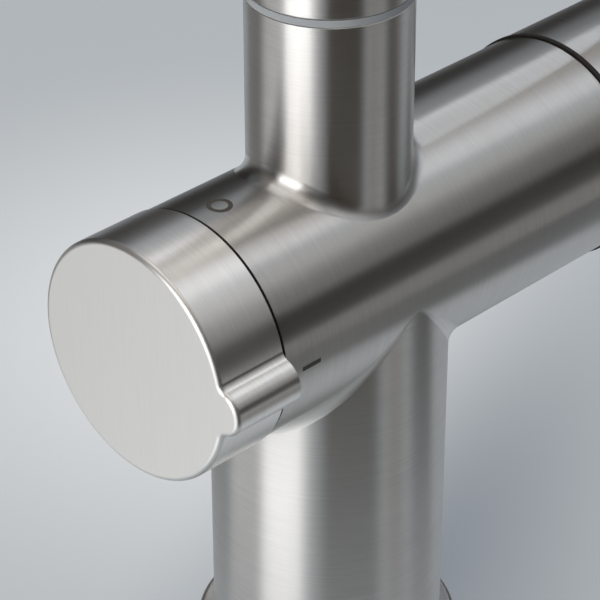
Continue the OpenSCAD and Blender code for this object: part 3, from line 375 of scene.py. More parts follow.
UPRIGHT = upright_axis()
ON_BARREL = ((0, 0, AXIS_Z), (0, 0, 1), (0, -1, 0), (1, 0, 0))


def turned(shell, axis, angles, *parts):
    """Adds a turned surface: each part of the profile goes round the axis through the given angles."""
    origin, first, second, along = (np.array(v, float) for v in axis)
    radial = np.cos(angles)[:, None] * first + np.sin(angles)[:, None] * second
    travel = 0.0
    for points, normals in parts:
        length = travelled(points)
        place = origin + points[:, 0, None, None] * radial + points[:, 1, None, None] * along
        normal = normals[:, 0, None, None] * radial + normals[:, 1, None, None] * along
        shell.grid(place, normal, (travel + length)[:, None], points[:, 0, None] * angles[None])
        travel += length[-1]


# The body: barrel, column and stub with their blends. Along x the unrolled barrel goes from LEFT to RIGHT,
# and from its top or bottom line it is HALF wide to each side.
LEFT, RIGHT = BARREL_LEFT + SEAM_EDGE, BARREL_RIGHT - EDGE
HALF = math.pi * BARREL_R / 2
LIFT = np.array([0, 0, AXIS_Z])

# Steps along half an end of the unrolled barrel and along its sides right and left of the column, rows
# from the blend to there and how they crowd near the blend, and steps across a blend and along an upright
END_STEPS, RIGHT_STEPS, LEFT_STEPS = 22, 34, 22
BARREL_ROWS, BARREL_CROWDING = 14, 1.25
BLEND_STEPS, UPRIGHT_STEPS = 12, 12

# Turned profiles, from the CAD model: the stub's rim with the hollow for the nipple, the column's foot, its
# hollow with the shank's thread, the right end with the cartridge's hollow, the hollow for the appliance
# valve, and the rim that faces the knob
COLUMN_BORE, CEILING_Z = 15.5, 46.0
STUB_PROFILE = ((STUB_R, STUB_TOP - STUB_EDGE), (STUB_R - STUB_EDGE, STUB_TOP), (12, STUB_TOP), (12, 116),
                (5, 116), (5, 99), (0, 99))
FOOT_PROFILE = ((16.48, COLUMN_FOOT), (COLUMN_R - EDGE, COLUMN_FOOT), (COLUMN_R, COLUMN_FOOT + EDGE))
COLUMN_HOLLOW = ((COLUMN_BORE, CEILING_Z), (COLUMN_BORE, 17.5), (16.48, 17.5), (16.48, COLUMN_FOOT))
CARTRIDGE_PROFILE = ((BARREL_R, RIGHT), (BARREL_R - EDGE, BARREL_RIGHT), (19.03, BARREL_RIGHT),
                     (19.03, 49.5), (17.6, 49.5), (17.6, 27), (0, 27))
VALVE_HOLLOW = ((0, -12), (9.6, -12), (9.6, -20.4), (10.43, -20.4), (10.43, -26), (19.5, -26),
                (19.5, BARREL_LEFT))
SEAM_PROFILE = ((19.5, BARREL_LEFT), (BARREL_R - SEAM_EDGE, BARREL_LEFT), (BARREL_R, LEFT))

# Sockets for the hoses in the top of the column's hollow: how far from its axis, at which angles, radius,
# depth and steps round each, and steps round the hollow
HOSE_REACH, HOSE_TURNS = 9, (60, -60, 180)
HOSE_R, HOSE_DEEP = 4.5, 12.0
HOSE_STEPS, CEILING_STEPS = 32, 96


def barrel_outline():
    """Points round the unrolled barrel, from the middle of its right end, with their directions."""
    sides = [((RIGHT, 0), (RIGHT, HALF), END_STEPS), ((RIGHT, HALF), (0, HALF), RIGHT_STEPS),
             ((0, HALF), (LEFT, HALF), LEFT_STEPS), ((LEFT, HALF), (LEFT, 0), END_STEPS),
             ((LEFT, 0), (LEFT, -HALF), END_STEPS), ((LEFT, -HALF), (0, -HALF), LEFT_STEPS),
             ((0, -HALF), (RIGHT, -HALF), RIGHT_STEPS), ((RIGHT, -HALF), (RIGHT, 0), END_STEPS)]
    points = [np.array(a) + (np.array(b) - np.array(a)) * i / n for a, b, n in sides for i in range(n)]
    points = np.array(points, float)
    return points, np.arctan2(points[:, 1], points[:, 0])


def blend_lines(radius, ball, angles, side):
    """Centres of the rolling ball and where it touches the upright and the barrel, seen from the barrel's
    axis."""
    x, y = (radius + ball) * np.cos(angles), (radius + ball) * np.sin(angles)
    z = side * np.sqrt((BARREL_R + ball) ** 2 - y ** 2)
    share = BARREL_R / (BARREL_R + ball)
    center = np.stack([x, y, z], 1)
    upright = np.stack([radius * np.cos(angles), radius * np.sin(angles), z], 1)
    barrel = np.stack([x, y * share, z * share], 1)
    return center, upright, barrel


def closed(values, start):
    """Puts columns in order from the given one round to itself."""
    order = np.r_[start:len(values), 0:start + 1]
    return values[order]


def add_blend(shell, ball, back, center, upright, barrel):
    """The rounding that the ball leaves between an upright and the barrel."""
    spine = travelled(center)
    spine_end = spine[-1] + np.linalg.norm(center[0] - center[-1])
    spine_closed = np.r_[spine[back:], spine[:back + 1] + spine_end] - spine[back]
    a, b = (upright - center) / ball, (barrel - center) / ball
    w = np.arccos(np.clip((a * b).sum(1), -1, 1))[:, None]
    shares = np.linspace(0, 1, BLEND_STEPS + 1)
    out = [(np.sin((1 - t) * w) * a + np.sin(t * w) * b) / np.sin(w) for t in shares]
    out = np.array([closed(o, back) for o in out])
    turn = shares[:, None] * closed(w, back)[:, 0][None] * ball
    shell.grid(closed(center, back)[None] + ball * out + LIFT, -out, turn, spine_closed[None])


def add_barrel_half(shell, side, outer, angles, barrel):
    """The barrel's half on one side, from the blend out, unrolled from its top or bottom line."""
    inner = np.stack([barrel[:, 0], BARREL_R * np.arctan2(barrel[:, 1], side * barrel[:, 2])], 1)
    share = np.linspace(0, 1, BARREL_ROWS + 1) ** BARREL_CROWDING
    flat = inner[None] + (outer - inner)[None] * share[:, None, None]
    turn = flat[..., 1] / BARREL_R
    normal = np.stack([0 * turn, np.sin(turn), side * np.cos(turn)], -1)
    place = np.concatenate([flat[..., :1], BARREL_R * normal[..., 1:]], -1) + LIFT
    middle = int(np.argmin(np.abs(np.abs(angles) - math.pi)))
    for columns, sign in ((np.r_[0:middle + 1], 1), (np.r_[middle:len(angles), 0], -1)):
        along = flat[:, columns, 1]
        if side < 0:
            along = sign * 2 * HALF - along
        shell.grid(place[:, columns], normal[:, columns], flat[:, columns, 0], along)


def add_upright(shell, radius, end, around, ring):
    """The stub or the column, from its blend to its end."""
    share = np.linspace(0, 1, UPRIGHT_STEPS + 1)[:, None]
    height = ring[None, :, 2] * (1 - share) + end * share
    place = np.stack([np.broadcast_to(ring[:, 0], height.shape),
                      np.broadcast_to(ring[:, 1], height.shape), height], -1)
    normal = np.stack([np.cos(around), np.sin(around), 0 * around], -1)
    shell.grid(place, np.broadcast_to(normal, place.shape), height, radius * around[None])


def end_angles(outer, x):
    """The angles round the barrel's axis of the points that the unrolled barrel has on one end."""
    turn = np.sort(outer[outer[:, 0] == x, 1] / BARREL_R)
    return -np.r_[turn, math.pi + turn[1:]]


def make_body():
    shell, rim = Shell(), Shell()
    outer, angles = barrel_outline()
    back = int(np.argmin(np.abs(angles - math.pi / 2)))
    around = np.unwrap(closed(angles, back))
    for radius, ball, side, end, profiles in (
            (STUB_R, STUB_BLEND, 1, STUB_TOP - STUB_EDGE, [STUB_PROFILE]),
            (COLUMN_R, COLUMN_BLEND, -1, COLUMN_FOOT + EDGE, [FOOT_PROFILE, COLUMN_HOLLOW])):
        center, upright, barrel = blend_lines(radius, ball, angles, side)
        add_blend(shell, ball, back, center, upright, barrel)
        add_barrel_half(shell, side, outer, angles, barrel)
        add_upright(shell, radius, end, around, closed(upright, back) + LIFT)
        for profile in profiles:
            turned(shell, UPRIGHT, around, *path(*profile))
    turned(shell, ON_BARREL, end_angles(outer, RIGHT), *path(*CARTRIDGE_PROFILE))
    turned(shell, ON_BARREL, end_angles(outer, LEFT), *path(*VALVE_HOLLOW))
    # the rim that faces the knob is painted with the seam's dark shade
    turned(rim, ON_BARREL, end_angles(outer, LEFT), *path(*SEAM_PROFILE))
    rim.piece("barrel_rim", SEAM, "brushed_steel", "root")
    add_hose_ceiling(shell)
    shell.piece("body_shell", STEEL, "brushed_steel", "root", "body")


def add_hose_ceiling(shell):
    """The top of the column's hollow, with the three sockets for the hoses."""
    made = bmesh.new()
    sockets = [(HOSE_REACH * math.cos(math.radians(t)), HOSE_REACH * math.sin(math.radians(t)), HOSE_R,
                HOSE_STEPS) for t in HOSE_TURNS]
    for x, y, r, n in [(0, 0, COLUMN_BORE, CEILING_STEPS)] + sockets:
        verts = [made.verts.new((x + r * math.cos(t), y + r * math.sin(t), CEILING_Z))
                 for t in (2 * math.pi * i / n for i in range(n))]
        for i in range(n):
            made.edges.new((verts[i], verts[(i + 1) % n]))
    bmesh.ops.triangle_fill(made, use_beauty=True, edges=made.edges[:])
    for f in made.faces:
        shell.face([(v.co, (0, 0, -1), (v.co.x, v.co.y)) for v in f.verts])
    made.free()
    end = CEILING_Z + HOSE_DEEP
    for x, y, r, n in sockets:
        turned(shell, upright_axis(x, y), circle(n), line((r, CEILING_Z), (r, end), flip=True),
               line((r, end), (0, end)))


# Marks on the barrel, a ring on top and a dash at the front: how far they stand out, their middle along x,
# the ring's outer radius, the width of the strokes and half the dash's length, and steps
MARK_PROUD = 0.015
MARK_X = BARREL_LEFT + 6.3
MARK_RING_R, MARK_STROKE, MARK_DASH_HALF = 2.35, 0.85, 2.2
MARK_ROUND_STEPS, MARK_RING_ROWS, MARK_DASH_COLUMNS, MARK_DASH_ROWS = 72, 7, 9, 5


def make_marks():
    shell = Shell()
    radius = BARREL_R + MARK_PROUD
    turn = circle(MARK_ROUND_STEPS)
    reach = np.linspace(MARK_RING_R - MARK_STROKE, MARK_RING_R, MARK_RING_ROWS)[:, None]
    x, y = MARK_X + reach * np.cos(turn), reach * np.sin(turn)
    z = np.sqrt(radius ** 2 - y ** 2)
    shell.grid(np.stack([x, y, AXIS_Z + z], -1), np.stack([0 * x, y, z], -1) / radius, x, y)
    x, z = np.meshgrid(np.linspace(MARK_X - MARK_DASH_HALF, MARK_X + MARK_DASH_HALF, MARK_DASH_COLUMNS),
                       np.linspace(-MARK_STROKE / 2, MARK_STROKE / 2, MARK_DASH_ROWS))
    y = -np.sqrt(radius ** 2 - z ** 2)
    shell.grid(np.stack([x, y, AXIS_Z + z], -1), np.stack([0 * x, y, z], -1) / radius, x, z)
    shell.piece("mark_inlay", ENAMEL, "mark_enamel", "root", "position_marks")


# The knob: its round with the lug, whose crest is an arc that two hollow arcs join to the round
KNOB_R = 22.75
LUG_REACH, LUG_CREST_R, LUG_HOLLOW_R = 26.5, 4.5, 2.0
KNOB_STEPS, LUG_CREST_STEPS, LUG_HOLLOW_STEPS = 120, 48, 20

# Its back and face along x, the rounded edge round the face with its steps, the lip at its back that
# reaches into the seam, wall and face thickness, and the boss inside with the insert's bore
KNOB_BACK, KNOB_FACE = -33.8, -48.5
BRIM, BRIM_STEPS = 1.0, 12
KNOB_LIP = 0.2
KNOB_WALL, FACE_THICK = 2.85, 2.6
FACE_ROWS, FACE_CROWDING = 12, 0.8
BOSS_R, BOSS_BACK, INSERT_R = 9.5, -37, 7.04

# A quarter turn, for small rounded edges
QUARTER = np.radians(np.linspace(0, 90, 5))


def knob_outline():
    """The knob's outline with its normals, from the back over the top to the lug and on: (front, up)."""
    crest = LUG_REACH - LUG_CREST_R
    far, near = KNOB_R + LUG_HOLLOW_R, LUG_CREST_R + LUG_HOLLOW_R
    hx = (far ** 2 - near ** 2 + crest ** 2) / (2 * crest)
    hz = math.sqrt(far ** 2 - hx ** 2)
    hollow = math.degrees(math.atan2(hz, hx))
    lean = math.degrees(math.atan2(hz, hx - crest))
    parts = [arc((0, 0), KNOB_R, 180, hollow, KNOB_STEPS),
             arc((hx, hz), LUG_HOLLOW_R, 180 + hollow, 180 + lean, LUG_HOLLOW_STEPS, inward=True),
             arc((crest, 0), LUG_CREST_R, lean, -lean, LUG_CREST_STEPS),
             arc((hx, -hz), LUG_HOLLOW_R, 180 - lean, 180 - hollow, LUG_HOLLOW_STEPS, inward=True),
             arc((0, 0), KNOB_R, -hollow, -180, KNOB_STEPS)]
    points = np.concatenate([p if i == 0 else p[1:] for i, (p, n) in enumerate(parts)])
    normals = np.concatenate([n if i == 0 else n[1:] for i, (p, n) in enumerate(parts)])
    return points, normals


def knob_direction(flat, x):
    """Turns outline directions (front, up) and their part along x into the frame's directions."""
    return np.stack([np.broadcast_to(x, flat.shape[:-1]), -flat[..., 0], flat[..., 1]], -1)


def knob_place(flat, x):
    """Turns outline points (front, up) at x into the frame's points."""
    return np.stack([np.broadcast_to(x, flat.shape[:-1]), -flat[..., 0], AXIS_Z + flat[..., 1]], -1)


def make_knob():
    outline, normals = knob_outline()
    length = travelled(outline)

    # the side: its lines run round it
    side, rows, turns = Shell(), [], []
    for t in QUARTER[::-1]:
        rows.append(knob_place(outline - normals * KNOB_LIP * (1 - math.cos(t)),
                               KNOB_BACK + KNOB_LIP * (1 - math.sin(t))))
        turns.append(knob_direction(normals * math.cos(t), math.sin(t)))
    rows.append(knob_place(outline, KNOB_FACE + BRIM))
    turns.append(knob_direction(normals, 0.0))
    across = travelled(np.array(rows)[:, 0])
    side.grid(rows, turns, across[:, None], length[None])
    side.piece("knob_side", KNOB_STEEL, "brushed_steel", "knob", "valve_knob")

    # the flat face: its lines run up and down
    face = Shell()
    flat = (outline - normals * BRIM)[None] * np.linspace(0, 1, FACE_ROWS)[:, None, None] ** FACE_CROWDING
    face.grid(knob_place(flat, KNOB_FACE), knob_direction(0 * flat, -1.0), flat[..., 0], flat[..., 1])
    face.piece("knob_face", FACE_STEEL, "brushed_steel", "knob")

    # the rounded edge round the face: its lines run along it
    brim, rows, turns = Shell(), [], []
    angles = np.radians(np.linspace(0, 90, BRIM_STEPS + 1))
    for t in angles:
        rows.append(knob_place(outline - normals * BRIM * (1 - math.cos(t)),
                               KNOB_FACE + BRIM * (1 - math.sin(t))))
        turns.append(knob_direction(normals * math.cos(t), -math.sin(t)))
    brim.grid(rows, turns, BRIM * angles[:, None], length[None])
    brim.piece("knob_brim", EDGE_STEEL, "brushed_steel", "knob")

    # the back edge, painted with the seam's dark shade
    rim = Shell()
    bore_r = KNOB_R - KNOB_WALL
    bore = bore_r * outline / np.linalg.norm(outline, axis=1)[:, None]
    both = np.stack([bore, outline - normals * KNOB_LIP])
    rim.grid(knob_place(both, KNOB_BACK), knob_direction(0 * both, 1.0), np.array([[0], [KNOB_WALL]]),
             length[None])
    rim.piece("knob_rim", SEAM, "brushed_steel", "knob")

    # the hollow with the boss
    inside, floor = Shell(), KNOB_FACE + FACE_THICK
    angles = -np.unwrap(np.arctan2(-bore[:, 0], bore[:, 1]))
    turned(inside, ON_BARREL, angles, line((bore_r, KNOB_BACK), (bore_r, floor), flip=True),
           line((bore_r, floor), (BOSS_R, floor)), line((BOSS_R, floor), (BOSS_R, BOSS_BACK), flip=True),
           line((BOSS_R, BOSS_BACK), (INSERT_R, BOSS_BACK)))
    inside.piece("knob_hollow", SATIN, "satin_steel", "knob")


# The spout: radius, wall, foot, height and radius of the bend's middle line, outlet, and the radius of the
# rounded edges at both ends with the step that the grain map has on them
SPOUT_R, SPOUT_WALL = 15.0, 1.5
SPOUT_FOOT, BEND_Z, BEND_R, OUTLET_Z = 145.6, 280.0, 95.0, 236.0
SPOUT_EDGE, SPOUT_EDGE_GRAIN = 0.4, 0.2
SPOUT_STEPS, RISE_STATIONS, BEND_STEPS, DROP_STATIONS = 96, 24, 90, 10


def spout_stations():
    """Points (y, z) of the spout's middle line, with their directions."""
    stations = [((0.0, z), (0.0, 1.0)) for z in np.linspace(SPOUT_FOOT + SPOUT_EDGE, BEND_Z, RISE_STATIONS)]
    for t in np.radians(np.linspace(0, 180, BEND_STEPS + 1))[1:]:
        stations.append(((-BEND_R + BEND_R * math.cos(t), BEND_Z + BEND_R * math.sin(t)),
                         (-math.sin(t), math.cos(t))))
    drop = np.linspace(BEND_Z, OUTLET_Z + SPOUT_EDGE, DROP_STATIONS)[1:]
    return stations + [((-2 * BEND_R, z), (0.0, -1.0)) for z in drop]


def make_spout():
    shell = Shell()
    stations = spout_stations()
    travel = travelled(np.array([middle for middle, _ in stations]))
    turn = circle(SPOUT_STEPS)

    def ring(station, radius, shift=0.0):
        (y, z), (dy, dz) = station
        side = np.array([1.0, 0, 0])
        out = np.array([0, dz, -dy])
        radial = np.cos(turn)[:, None] * side + np.sin(turn)[:, None] * out
        center = np.array([0, y + shift * dy, z + shift * dz])
        return center + radius * radial, radial, np.array([0, dy, dz])

    for radius, sign in ((SPOUT_R, 1), (SPOUT_R - SPOUT_WALL, -1)):
        rings = [ring(s, radius) for s in stations]
        shell.grid([r[0] for r in rings], [sign * r[1] for r in rings], travel[:, None],
                   SPOUT_R * turn[None])
    for station, way in ((stations[0], -1), (stations[-1], 1)):
        rows, turns = [], []
        for radius, sign, angles in ((SPOUT_R, 1, QUARTER), (SPOUT_R - SPOUT_WALL, -1, QUARTER[::-1])):
            for t in angles:
                p, n, d = ring(station, radius - sign * SPOUT_EDGE * (1 - math.cos(t)),
                               way * SPOUT_EDGE * math.sin(t))
                rows.append(p)
                turns.append(sign * math.cos(t) * n + way * math.sin(t) * d)
        shell.grid(rows, turns, np.arange(len(rows))[:, None] * SPOUT_EDGE_GRAIN, SPOUT_R * turn[None])
    shell.piece("spout_bow", STEEL, "brushed_steel", "spout", "spout_tube")


# Copies of CAD meshes: triangles flatter than this are taken out, faces whose normal's part along the axis
# is larger than this are ends, and the grain map counts points near the axis as this far from it
SLIVER = 0.0005
END_SLOPE = 0.7
LEAST_GRAIN_R = 1.0


def with_grain(node, name, material, slot, body, axis, straight_ends=False):
    """A copy of a CAD mesh whose grain runs round the axis, and straight over its ends if so told."""
    mesh = frame["nodes"][node].data.copy()
    clean = bmesh.new()
    clean.from_mesh(mesh)
    bmesh.ops.dissolve_degenerate(clean, dist=SLIVER * MM, edges=clean.edges[:])
    clean.to_mesh(mesh)
    clean.free()
    origin, first, second, along = (np.array(v, float) for v in axis)
    points = np.array([v.co for v in mesh.vertices]) / MM - origin
    height = points @ along
    x, y = points @ first, points @ second
    radius, turn = np.hypot(x, y), np.arctan2(y, x)
    layer = mesh.uv_layers.new(name="grain")
    for face in mesh.polygons:
        ends = abs(np.dot(face.normal, along)) > END_SLOPE
        corners = list(face.vertices)
        middle = turn[corners[int(np.argmax(radius[corners]))]]
        for k, v in zip(face.loop_indices, corners):
            t = middle + (turn[v] - middle + math.pi) % (2 * math.pi) - math.pi
            if ends and straight_ends:
                layer.data[k].uv = (y[v], x[v])
            else:
                layer.data[k].uv = (radius[v] if ends else height[v], max(radius[v], LEAST_GRAIN_R) * t)
    place_piece(name, mesh, material, slot, body, node)


ROD_AXIS = upright_axis(93.2, 0, AXIS_Z)
PLUG_AXIS = upright_axis(77, 0, AXIS_Z)
OUTLET_AXIS = upright_axis(0, -2 * BEND_R)


def make_copies():
    with_grain("base_ring", "base_ring_turned", STEEL, "brushed_steel", "root", UPRIGHT)
    with_grain("lever_hub", "lever_hub_brushed", STEEL, "brushed_steel", "lever", ON_BARREL,
               straight_ends=True)
    with_grain("lever_rod", "lever_rod_brushed", STEEL, "brushed_steel", "lever", ROD_AXIS)
    with_grain("cover_ring", "cover_ring_turned", SATIN, "satin_steel", "root", ON_BARREL)
    with_grain("hub_plug", "hub_plug_turned", SATIN, "satin_steel", "lever", PLUG_AXIS)
    with_grain("aerator_housing", "aerator_housing_turned", SATIN, "satin_steel", "spout", OUTLET_AXIS)


# The shank: thread radii, bore, plain nose with its bevel, top with its bevel, and the thread's pitch,
# lower and upper end, and the length over which it fades out there
THREAD_CREST, THREAD_ROOT = 16.4, 15.5
SHANK_BORE, NOSE_R, NOSE_BEVEL = 13.9, 15.5, 1
SHANK_TOP, TOP_BEVEL = 17.2, 0.8
THREAD_PITCH, THREAD_LOW, THREAD_HIGH, THREAD_FADE = 1.5, -50.4, 15.6, 1.2

# Steps round the thread and rows per turn, how much steeper than a plain zigzag its flanks are, which
# leaves the crest flat, and how far the normals lean on the flanks
THREAD_STEPS, ROWS_PER_TURN = 72, 6
FLANK, FLANK_LEAN = 1.5, 0.75


def make_shank():
    """The shank: plain nose, thread and bevelled top, with the bore inside."""
    shell = Shell()
    turn = circle(THREAD_STEPS)
    count = int(math.ceil((THREAD_HIGH - THREAD_LOW) / THREAD_PITCH)) + 1
    rows = np.arange(-ROWS_PER_TURN, count * ROWS_PER_TURN + 1)[:, None] / ROWS_PER_TURN
    height = np.clip(THREAD_LOW + THREAD_PITCH * (rows + turn[None] / (2 * math.pi)), THREAD_LOW, THREAD_HIGH)
    phase = rows % 1.0
    wave = 1 - 2 * np.abs(phase - 0.5)
    fade = np.clip(np.minimum(height - THREAD_LOW, THREAD_HIGH - height) / THREAD_FADE, 0, 1)
    radius = THREAD_ROOT + (THREAD_CREST - THREAD_ROOT) * np.clip(wave * FLANK, 0, 1) * fade
    slope = np.where(phase < 0.5, -FLANK_LEAN, FLANK_LEAN) * np.ones_like(radius)
    slope = np.where((wave * FLANK > 1) | (phase == 0), 0, slope) * fade
    place = np.stack([radius * np.cos(turn), radius * np.sin(turn), height], -1)
    normal = np.stack([np.cos(turn) + 0 * radius, np.sin(turn) + 0 * radius, slope], -1)
    normal /= np.linalg.norm(normal, axis=-1)[..., None]
    shell.grid(place, normal, height, THREAD_CREST * turn[None])
    plain = path((THREAD_ROOT, THREAD_HIGH), (THREAD_ROOT, SHANK_TOP - TOP_BEVEL),
                 (THREAD_ROOT - TOP_BEVEL, SHANK_TOP), (SHANK_BORE, SHANK_TOP), (SHANK_BORE, FLOOR_Z),
                 (NOSE_R - NOSE_BEVEL, FLOOR_Z), (NOSE_R, FLOOR_Z + NOSE_BEVEL), (NOSE_R, THREAD_LOW))
    turned(shell, UPRIGHT, turn, *plain[::-1])
    shell.piece("shank_threaded", BRASS, "brass", "root", "shank")


def finish_nodes():
    """The CAD nodes get the finish of their slot. The slide ring lies in the thick dark seam and gets the
    seam's painted shade.
    """
    for part in frame["record"]["subparts"]:
        node = frame["nodes"][part["node"]]
        node.data.materials.clear()
        node.data.materials.append(SLOT_MATERIALS[part["material_slot"]])
    frame["nodes"]["hub_slide_ring"].data.materials[0] = SEAM


make_body()
make_marks()
make_knob()
make_spout()
make_copies()
make_shank()
finish_nodes()


# The floor: half its width, the pool of light painted into its colour behind the mixer and the colour far
# from it,
# # the shadow painted into its colour right of the mixer, and how much of the colour is seen unlit
FLOOR_HALF = 15.0
FLOOR_MIDDLE = (0.138, 0.162, FLOOR_Z * MM)
FLOOR_FADE = (-0.008, 0.18)
FLOOR_LIGHT_POOL = (0.935, 0.97, 0.995)
FLOOR_FAR = (0.583, 0.62, 0.653)
FLOOR_SHADE_MIDDLE = (0.0715, 0.0457, FLOOR_Z * MM)
FLOOR_SHADE_TURN = math.radians(20.5)
FLOOR_SHADE_SHAPE = (1.0, 0.233, 1.0)
FLOOR_SHADE_FADE = (-0.05, 0.306)
FLOOR_SHADE = (0.285, 0.319, 0.361)
FLOOR_GLOW = 0.6

# Glowing cards that lie on the floor round the mixer and are painted reflections in the metal: name, first
# and last
# # azimuth, nearest and farthest point, and colour. Only mirror rays see them, so they shape what the metal
# shows and light nothing.
CARDS = [
    ("white_card", 160, 205, 0.14, 0.70, (1.41, 1.42, 1.44)),
    ("pale_card", 126, 160, 0.14, 0.70, (0.78, 0.78, 0.78)),
    ("dim_card_back", 86, 124, 0.20, 0.90, (0.24, 0.23, 0.22)),
    ("dark_card_front", 219, 272, 0.16, 1.45, (0.03, 0.022, 0.012)),
    ("dim_card_front", 278, 298, 0.14, 0.90, (0.27, 0.26, 0.25)),
    ("dark_card_right", 304, 333, 0.19, 0.40, (0.01, 0.008, 0.006)),
    ("dim_card_right", 304, 333, 0.40, 0.95, (0.2, 0.18, 0.16)),
    ("dark_card_far", 300, 335, 0.95, 1.45, (0.05, 0.05, 0.045)),
]

# How far over the floor the first card lies and each next one over it, and how wide their fades are, in
# degrees at the sides and in metres at the near edge
CARD_GAP, CARD_STEP = 0.001, 0.0002
CARD_FADE_TURN, CARD_FADE_REACH = 16.0, 0.06
CARD_STEPS = 24

# A dark band that stands round the stage, but not at its left: a painted dark reflection that hides the pale
# world low
# # down from mirror rays. First and last azimuth, distance, highest point and colour
BAND_FIRST, BAND_LAST = 208, 520
BAND_REACH, BAND_TOP = 1.5, 0.78
BAND_COLOR = (0.03, 0.028, 0.026)
BAND_STEPS = 48

# The world is pale like the floor's far part near the horizon and dim higher up. Camera, mirror and
# transmission rays see it so, and its light on the object is weak.
WORLD_PALE = tuple(FLOOR_GLOW * c for c in FLOOR_FAR)
WORLD_DIM = (0.11, 0.115, 0.12)
WORLD_FADE_TOP = 0.35
WORLD_LIGHT = 0.15

# Soft boxes round the mixer at one distance: name, azimuth, elevation, angles that width and height take up,
# colour and brightness
LAMP_TARGET = (0.0, 0.0, 0.06)
LAMP_DISTANCE = 1.0
NEUTRAL, WARM, AMBER, COOL = (1.01, 1.0, 0.99), (1.06, 1.0, 0.94), (1.3, 1.04, 0.66), (0.92, 0.99, 1.09)
LAMPS = [
    ("left_core", 184, 11, 17, 46, NEUTRAL, 2.5),
    ("left_middle", 184, 11, 34, 46, NEUTRAL, 2.5),
    ("left_wide", 187, 11, 52, 46, WARM, 0.38),
    ("left_high", 174, 40, 30, 12, WARM, 0.3),
    ("overhead", 0, 90, 50, 50, WARM, 1.0),
    ("over_front_right", 316, 60, 56, 24, COOL, 0.41),
    ("over_front_left", 255, 60, 60, 24, AMBER, 0.14),
    ("over_back", 100, 60, 70, 24, WARM, 0.12),
    ("front_right", 300, 43, 26, 14, NEUTRAL, 0.58),
    ("front_right_low", 296, 28, 22, 20, NEUTRAL, 0.4),
    ("right", 346, 43, 24, 14, COOL, 0.52),
    ("right_low", 347, 30, 24, 14, COOL, 0.49),
    ("back_right", 21, 43, 20, 12, COOL, 1.55),
    ("back_right_side", 46, 42, 24, 16, COOL, 0.42),
    ("back_left", 132, 30, 24, 20, AMBER, 0.1),
]


def stage_object(name, points, faces, material):
    data = bpy.data.meshes.new(name)
    data.from_pydata(points, [], faces)
    data.materials.append(material)
    made = bpy.data.objects.new(name, data)
    bpy.context.scene.collection.objects.link(made)
    return made


def make_floor():
    """A pale floor with a pool of light painted into its colour behind the mixer and a shadow painted into it
    right of the mixer. What camera, mirror and transmission rays see of it is partly its unlit colour."""
    g = Graph("floor")
    place = g.coordinates()
    # painted pool of light behind the mixer, then painted shadow right of it, both in the floor's colour
    pale = g.mix(g.fade(g.measure("DISTANCE", place, FLOOR_MIDDLE), *FLOOR_FADE), FLOOR_LIGHT_POOL, FLOOR_FAR)
    oval = g.node("ShaderNodeMapping", {"Vector": place, "Location": FLOOR_SHADE_MIDDLE,
                                        "Rotation": (0, 0, FLOOR_SHADE_TURN), "Scale": FLOOR_SHADE_SHAPE},
                  vector_type="TEXTURE").outputs[0]
    color = g.mix(g.fade(g.measure("LENGTH", oval), *FLOOR_SHADE_FADE), FLOOR_SHADE, pale)
    diffuse = g.node("ShaderNodeBsdfDiffuse", {"Color": color}).outputs[0]
    g.surface(g.mix_shaders(g.math("MULTIPLY", g.seen(), FLOOR_GLOW), diffuse, g.glow(color)))
    corners = [(x * FLOOR_HALF, y * FLOOR_HALF, FLOOR_Z * MM)
               for x, y in ((-1, -1), (1, -1), (1, 1), (-1, 1))]
    stage_object("floor", corners, [(0, 1, 2, 3)], g.material)


def mirror_ray_object(name, points, faces, graph):
    made = stage_object(name, points, faces, graph.material)
    made.visible_camera = made.visible_diffuse = False
    made.visible_transmission = made.visible_shadow = False


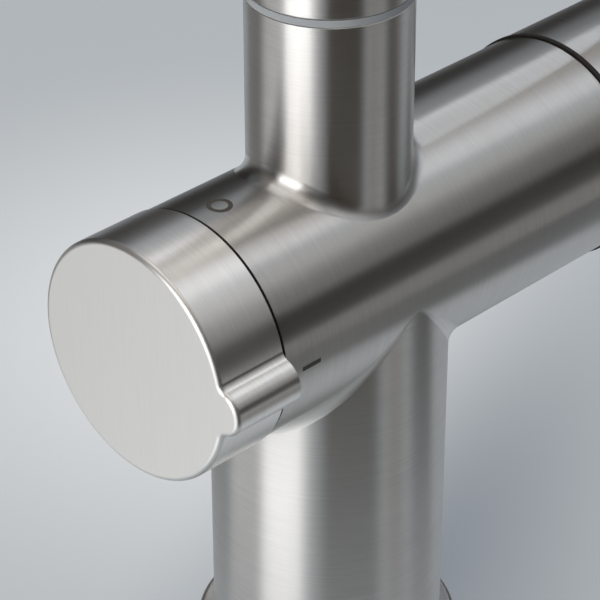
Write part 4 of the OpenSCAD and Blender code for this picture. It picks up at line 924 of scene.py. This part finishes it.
def make_cards():
    """Each card fades out at its near edge and at both sides."""
    fade_turn, fade_reach = CARD_FADE_TURN / 2, CARD_FADE_REACH / 2
    for level, (name, first, last, near, far, color) in enumerate(CARDS):
        z = FLOOR_Z * MM + CARD_GAP + level * CARD_STEP
        turns = np.linspace(first - fade_turn, last + fade_turn, CARD_STEPS + 1)
        rim = [(r * math.cos(math.radians(a)), r * math.sin(math.radians(a)), z)
               for r in (near - fade_reach, far) for a in turns]
        faces = [(i, i + CARD_STEPS + 1, i + CARD_STEPS + 2, i + 1) for i in range(CARD_STEPS)]
        g = Graph(name)
        flat = g.scaled(g.coordinates(), (1, 1, 0))
        middle, half = math.radians((first + last) / 2), math.radians((last - first) / 2)
        toward = g.node("ShaderNodeVectorMath", {0: flat}, operation="NORMALIZE").outputs[0]
        turn = g.math("ARCCOSINE", g.measure("DOT_PRODUCT", toward, (math.cos(middle), math.sin(middle), 0)))
        side = g.fade(turn, half + math.radians(fade_turn), half - math.radians(fade_turn))
        front = g.fade(g.measure("LENGTH", flat), near - fade_reach, near + fade_reach)
        clear = g.node("ShaderNodeBsdfTransparent").outputs[0]
        g.surface(g.mix_shaders(g.math("MULTIPLY", side, front), clear, g.glow(color)))
        mirror_ray_object(name, rim, faces, g)


def make_band():
    turns = np.radians(np.linspace(BAND_FIRST, BAND_LAST, BAND_STEPS + 1))
    rim = [(BAND_REACH * math.cos(a), BAND_REACH * math.sin(a), z)
           for z in (FLOOR_Z * MM + CARD_GAP, BAND_TOP) for a in turns]
    faces = [(i, i + 1, i + BAND_STEPS + 2, i + BAND_STEPS + 1) for i in range(BAND_STEPS)]
    g = Graph("dark_band")
    g.surface(g.glow(BAND_COLOR))
    mirror_ray_object("dark_band", rim, faces, g)


def make_world():
    world = bpy.data.worlds.new("studio")
    bpy.context.scene.world = world
    g = Graph("studio", world)
    height = g.node("ShaderNodeSeparateXYZ", {0: g.coordinates("Generated")}).outputs["Z"]
    strength = g.node("ShaderNodeMapRange", {"Value": g.seen(), "To Min": WORLD_LIGHT, "To Max": 1.0})
    background = g.tree.nodes["Background"]
    g.set(background.inputs["Color"], g.mix(g.fade(height, 0.0, WORLD_FADE_TOP), WORLD_PALE, WORLD_DIM))
    g.set(background.inputs["Strength"], strength.outputs[0])


def make_lamps():
    for name, azimuth, elevation, wide, tall, color, brightness in LAMPS:
        a, e = math.radians(azimuth), math.radians(elevation)
        away = Vector((math.cos(a) * math.cos(e), math.sin(a) * math.cos(e), math.sin(e)))
        data = bpy.data.lights.new(name, "AREA")
        data.shape = "RECTANGLE"
        data.size, data.size_y = (2 * LAMP_DISTANCE * math.tan(math.radians(t) / 2) for t in (wide, tall))
        data.color = color
        data.energy = brightness * math.pi * data.size * data.size_y
        lamp = bpy.data.objects.new(name, data)
        lamp.location = Vector(LAMP_TARGET) + LAMP_DISTANCE * away
        lamp.rotation_euler = away.to_track_quat("Z", "Y").to_euler()
        lamp.visible_camera = False
        bpy.context.scene.collection.objects.link(lamp)


make_floor()
make_cards()
make_band()
make_world()
make_lamps()
bpy.context.scene.view_settings.view_transform = "Standard"
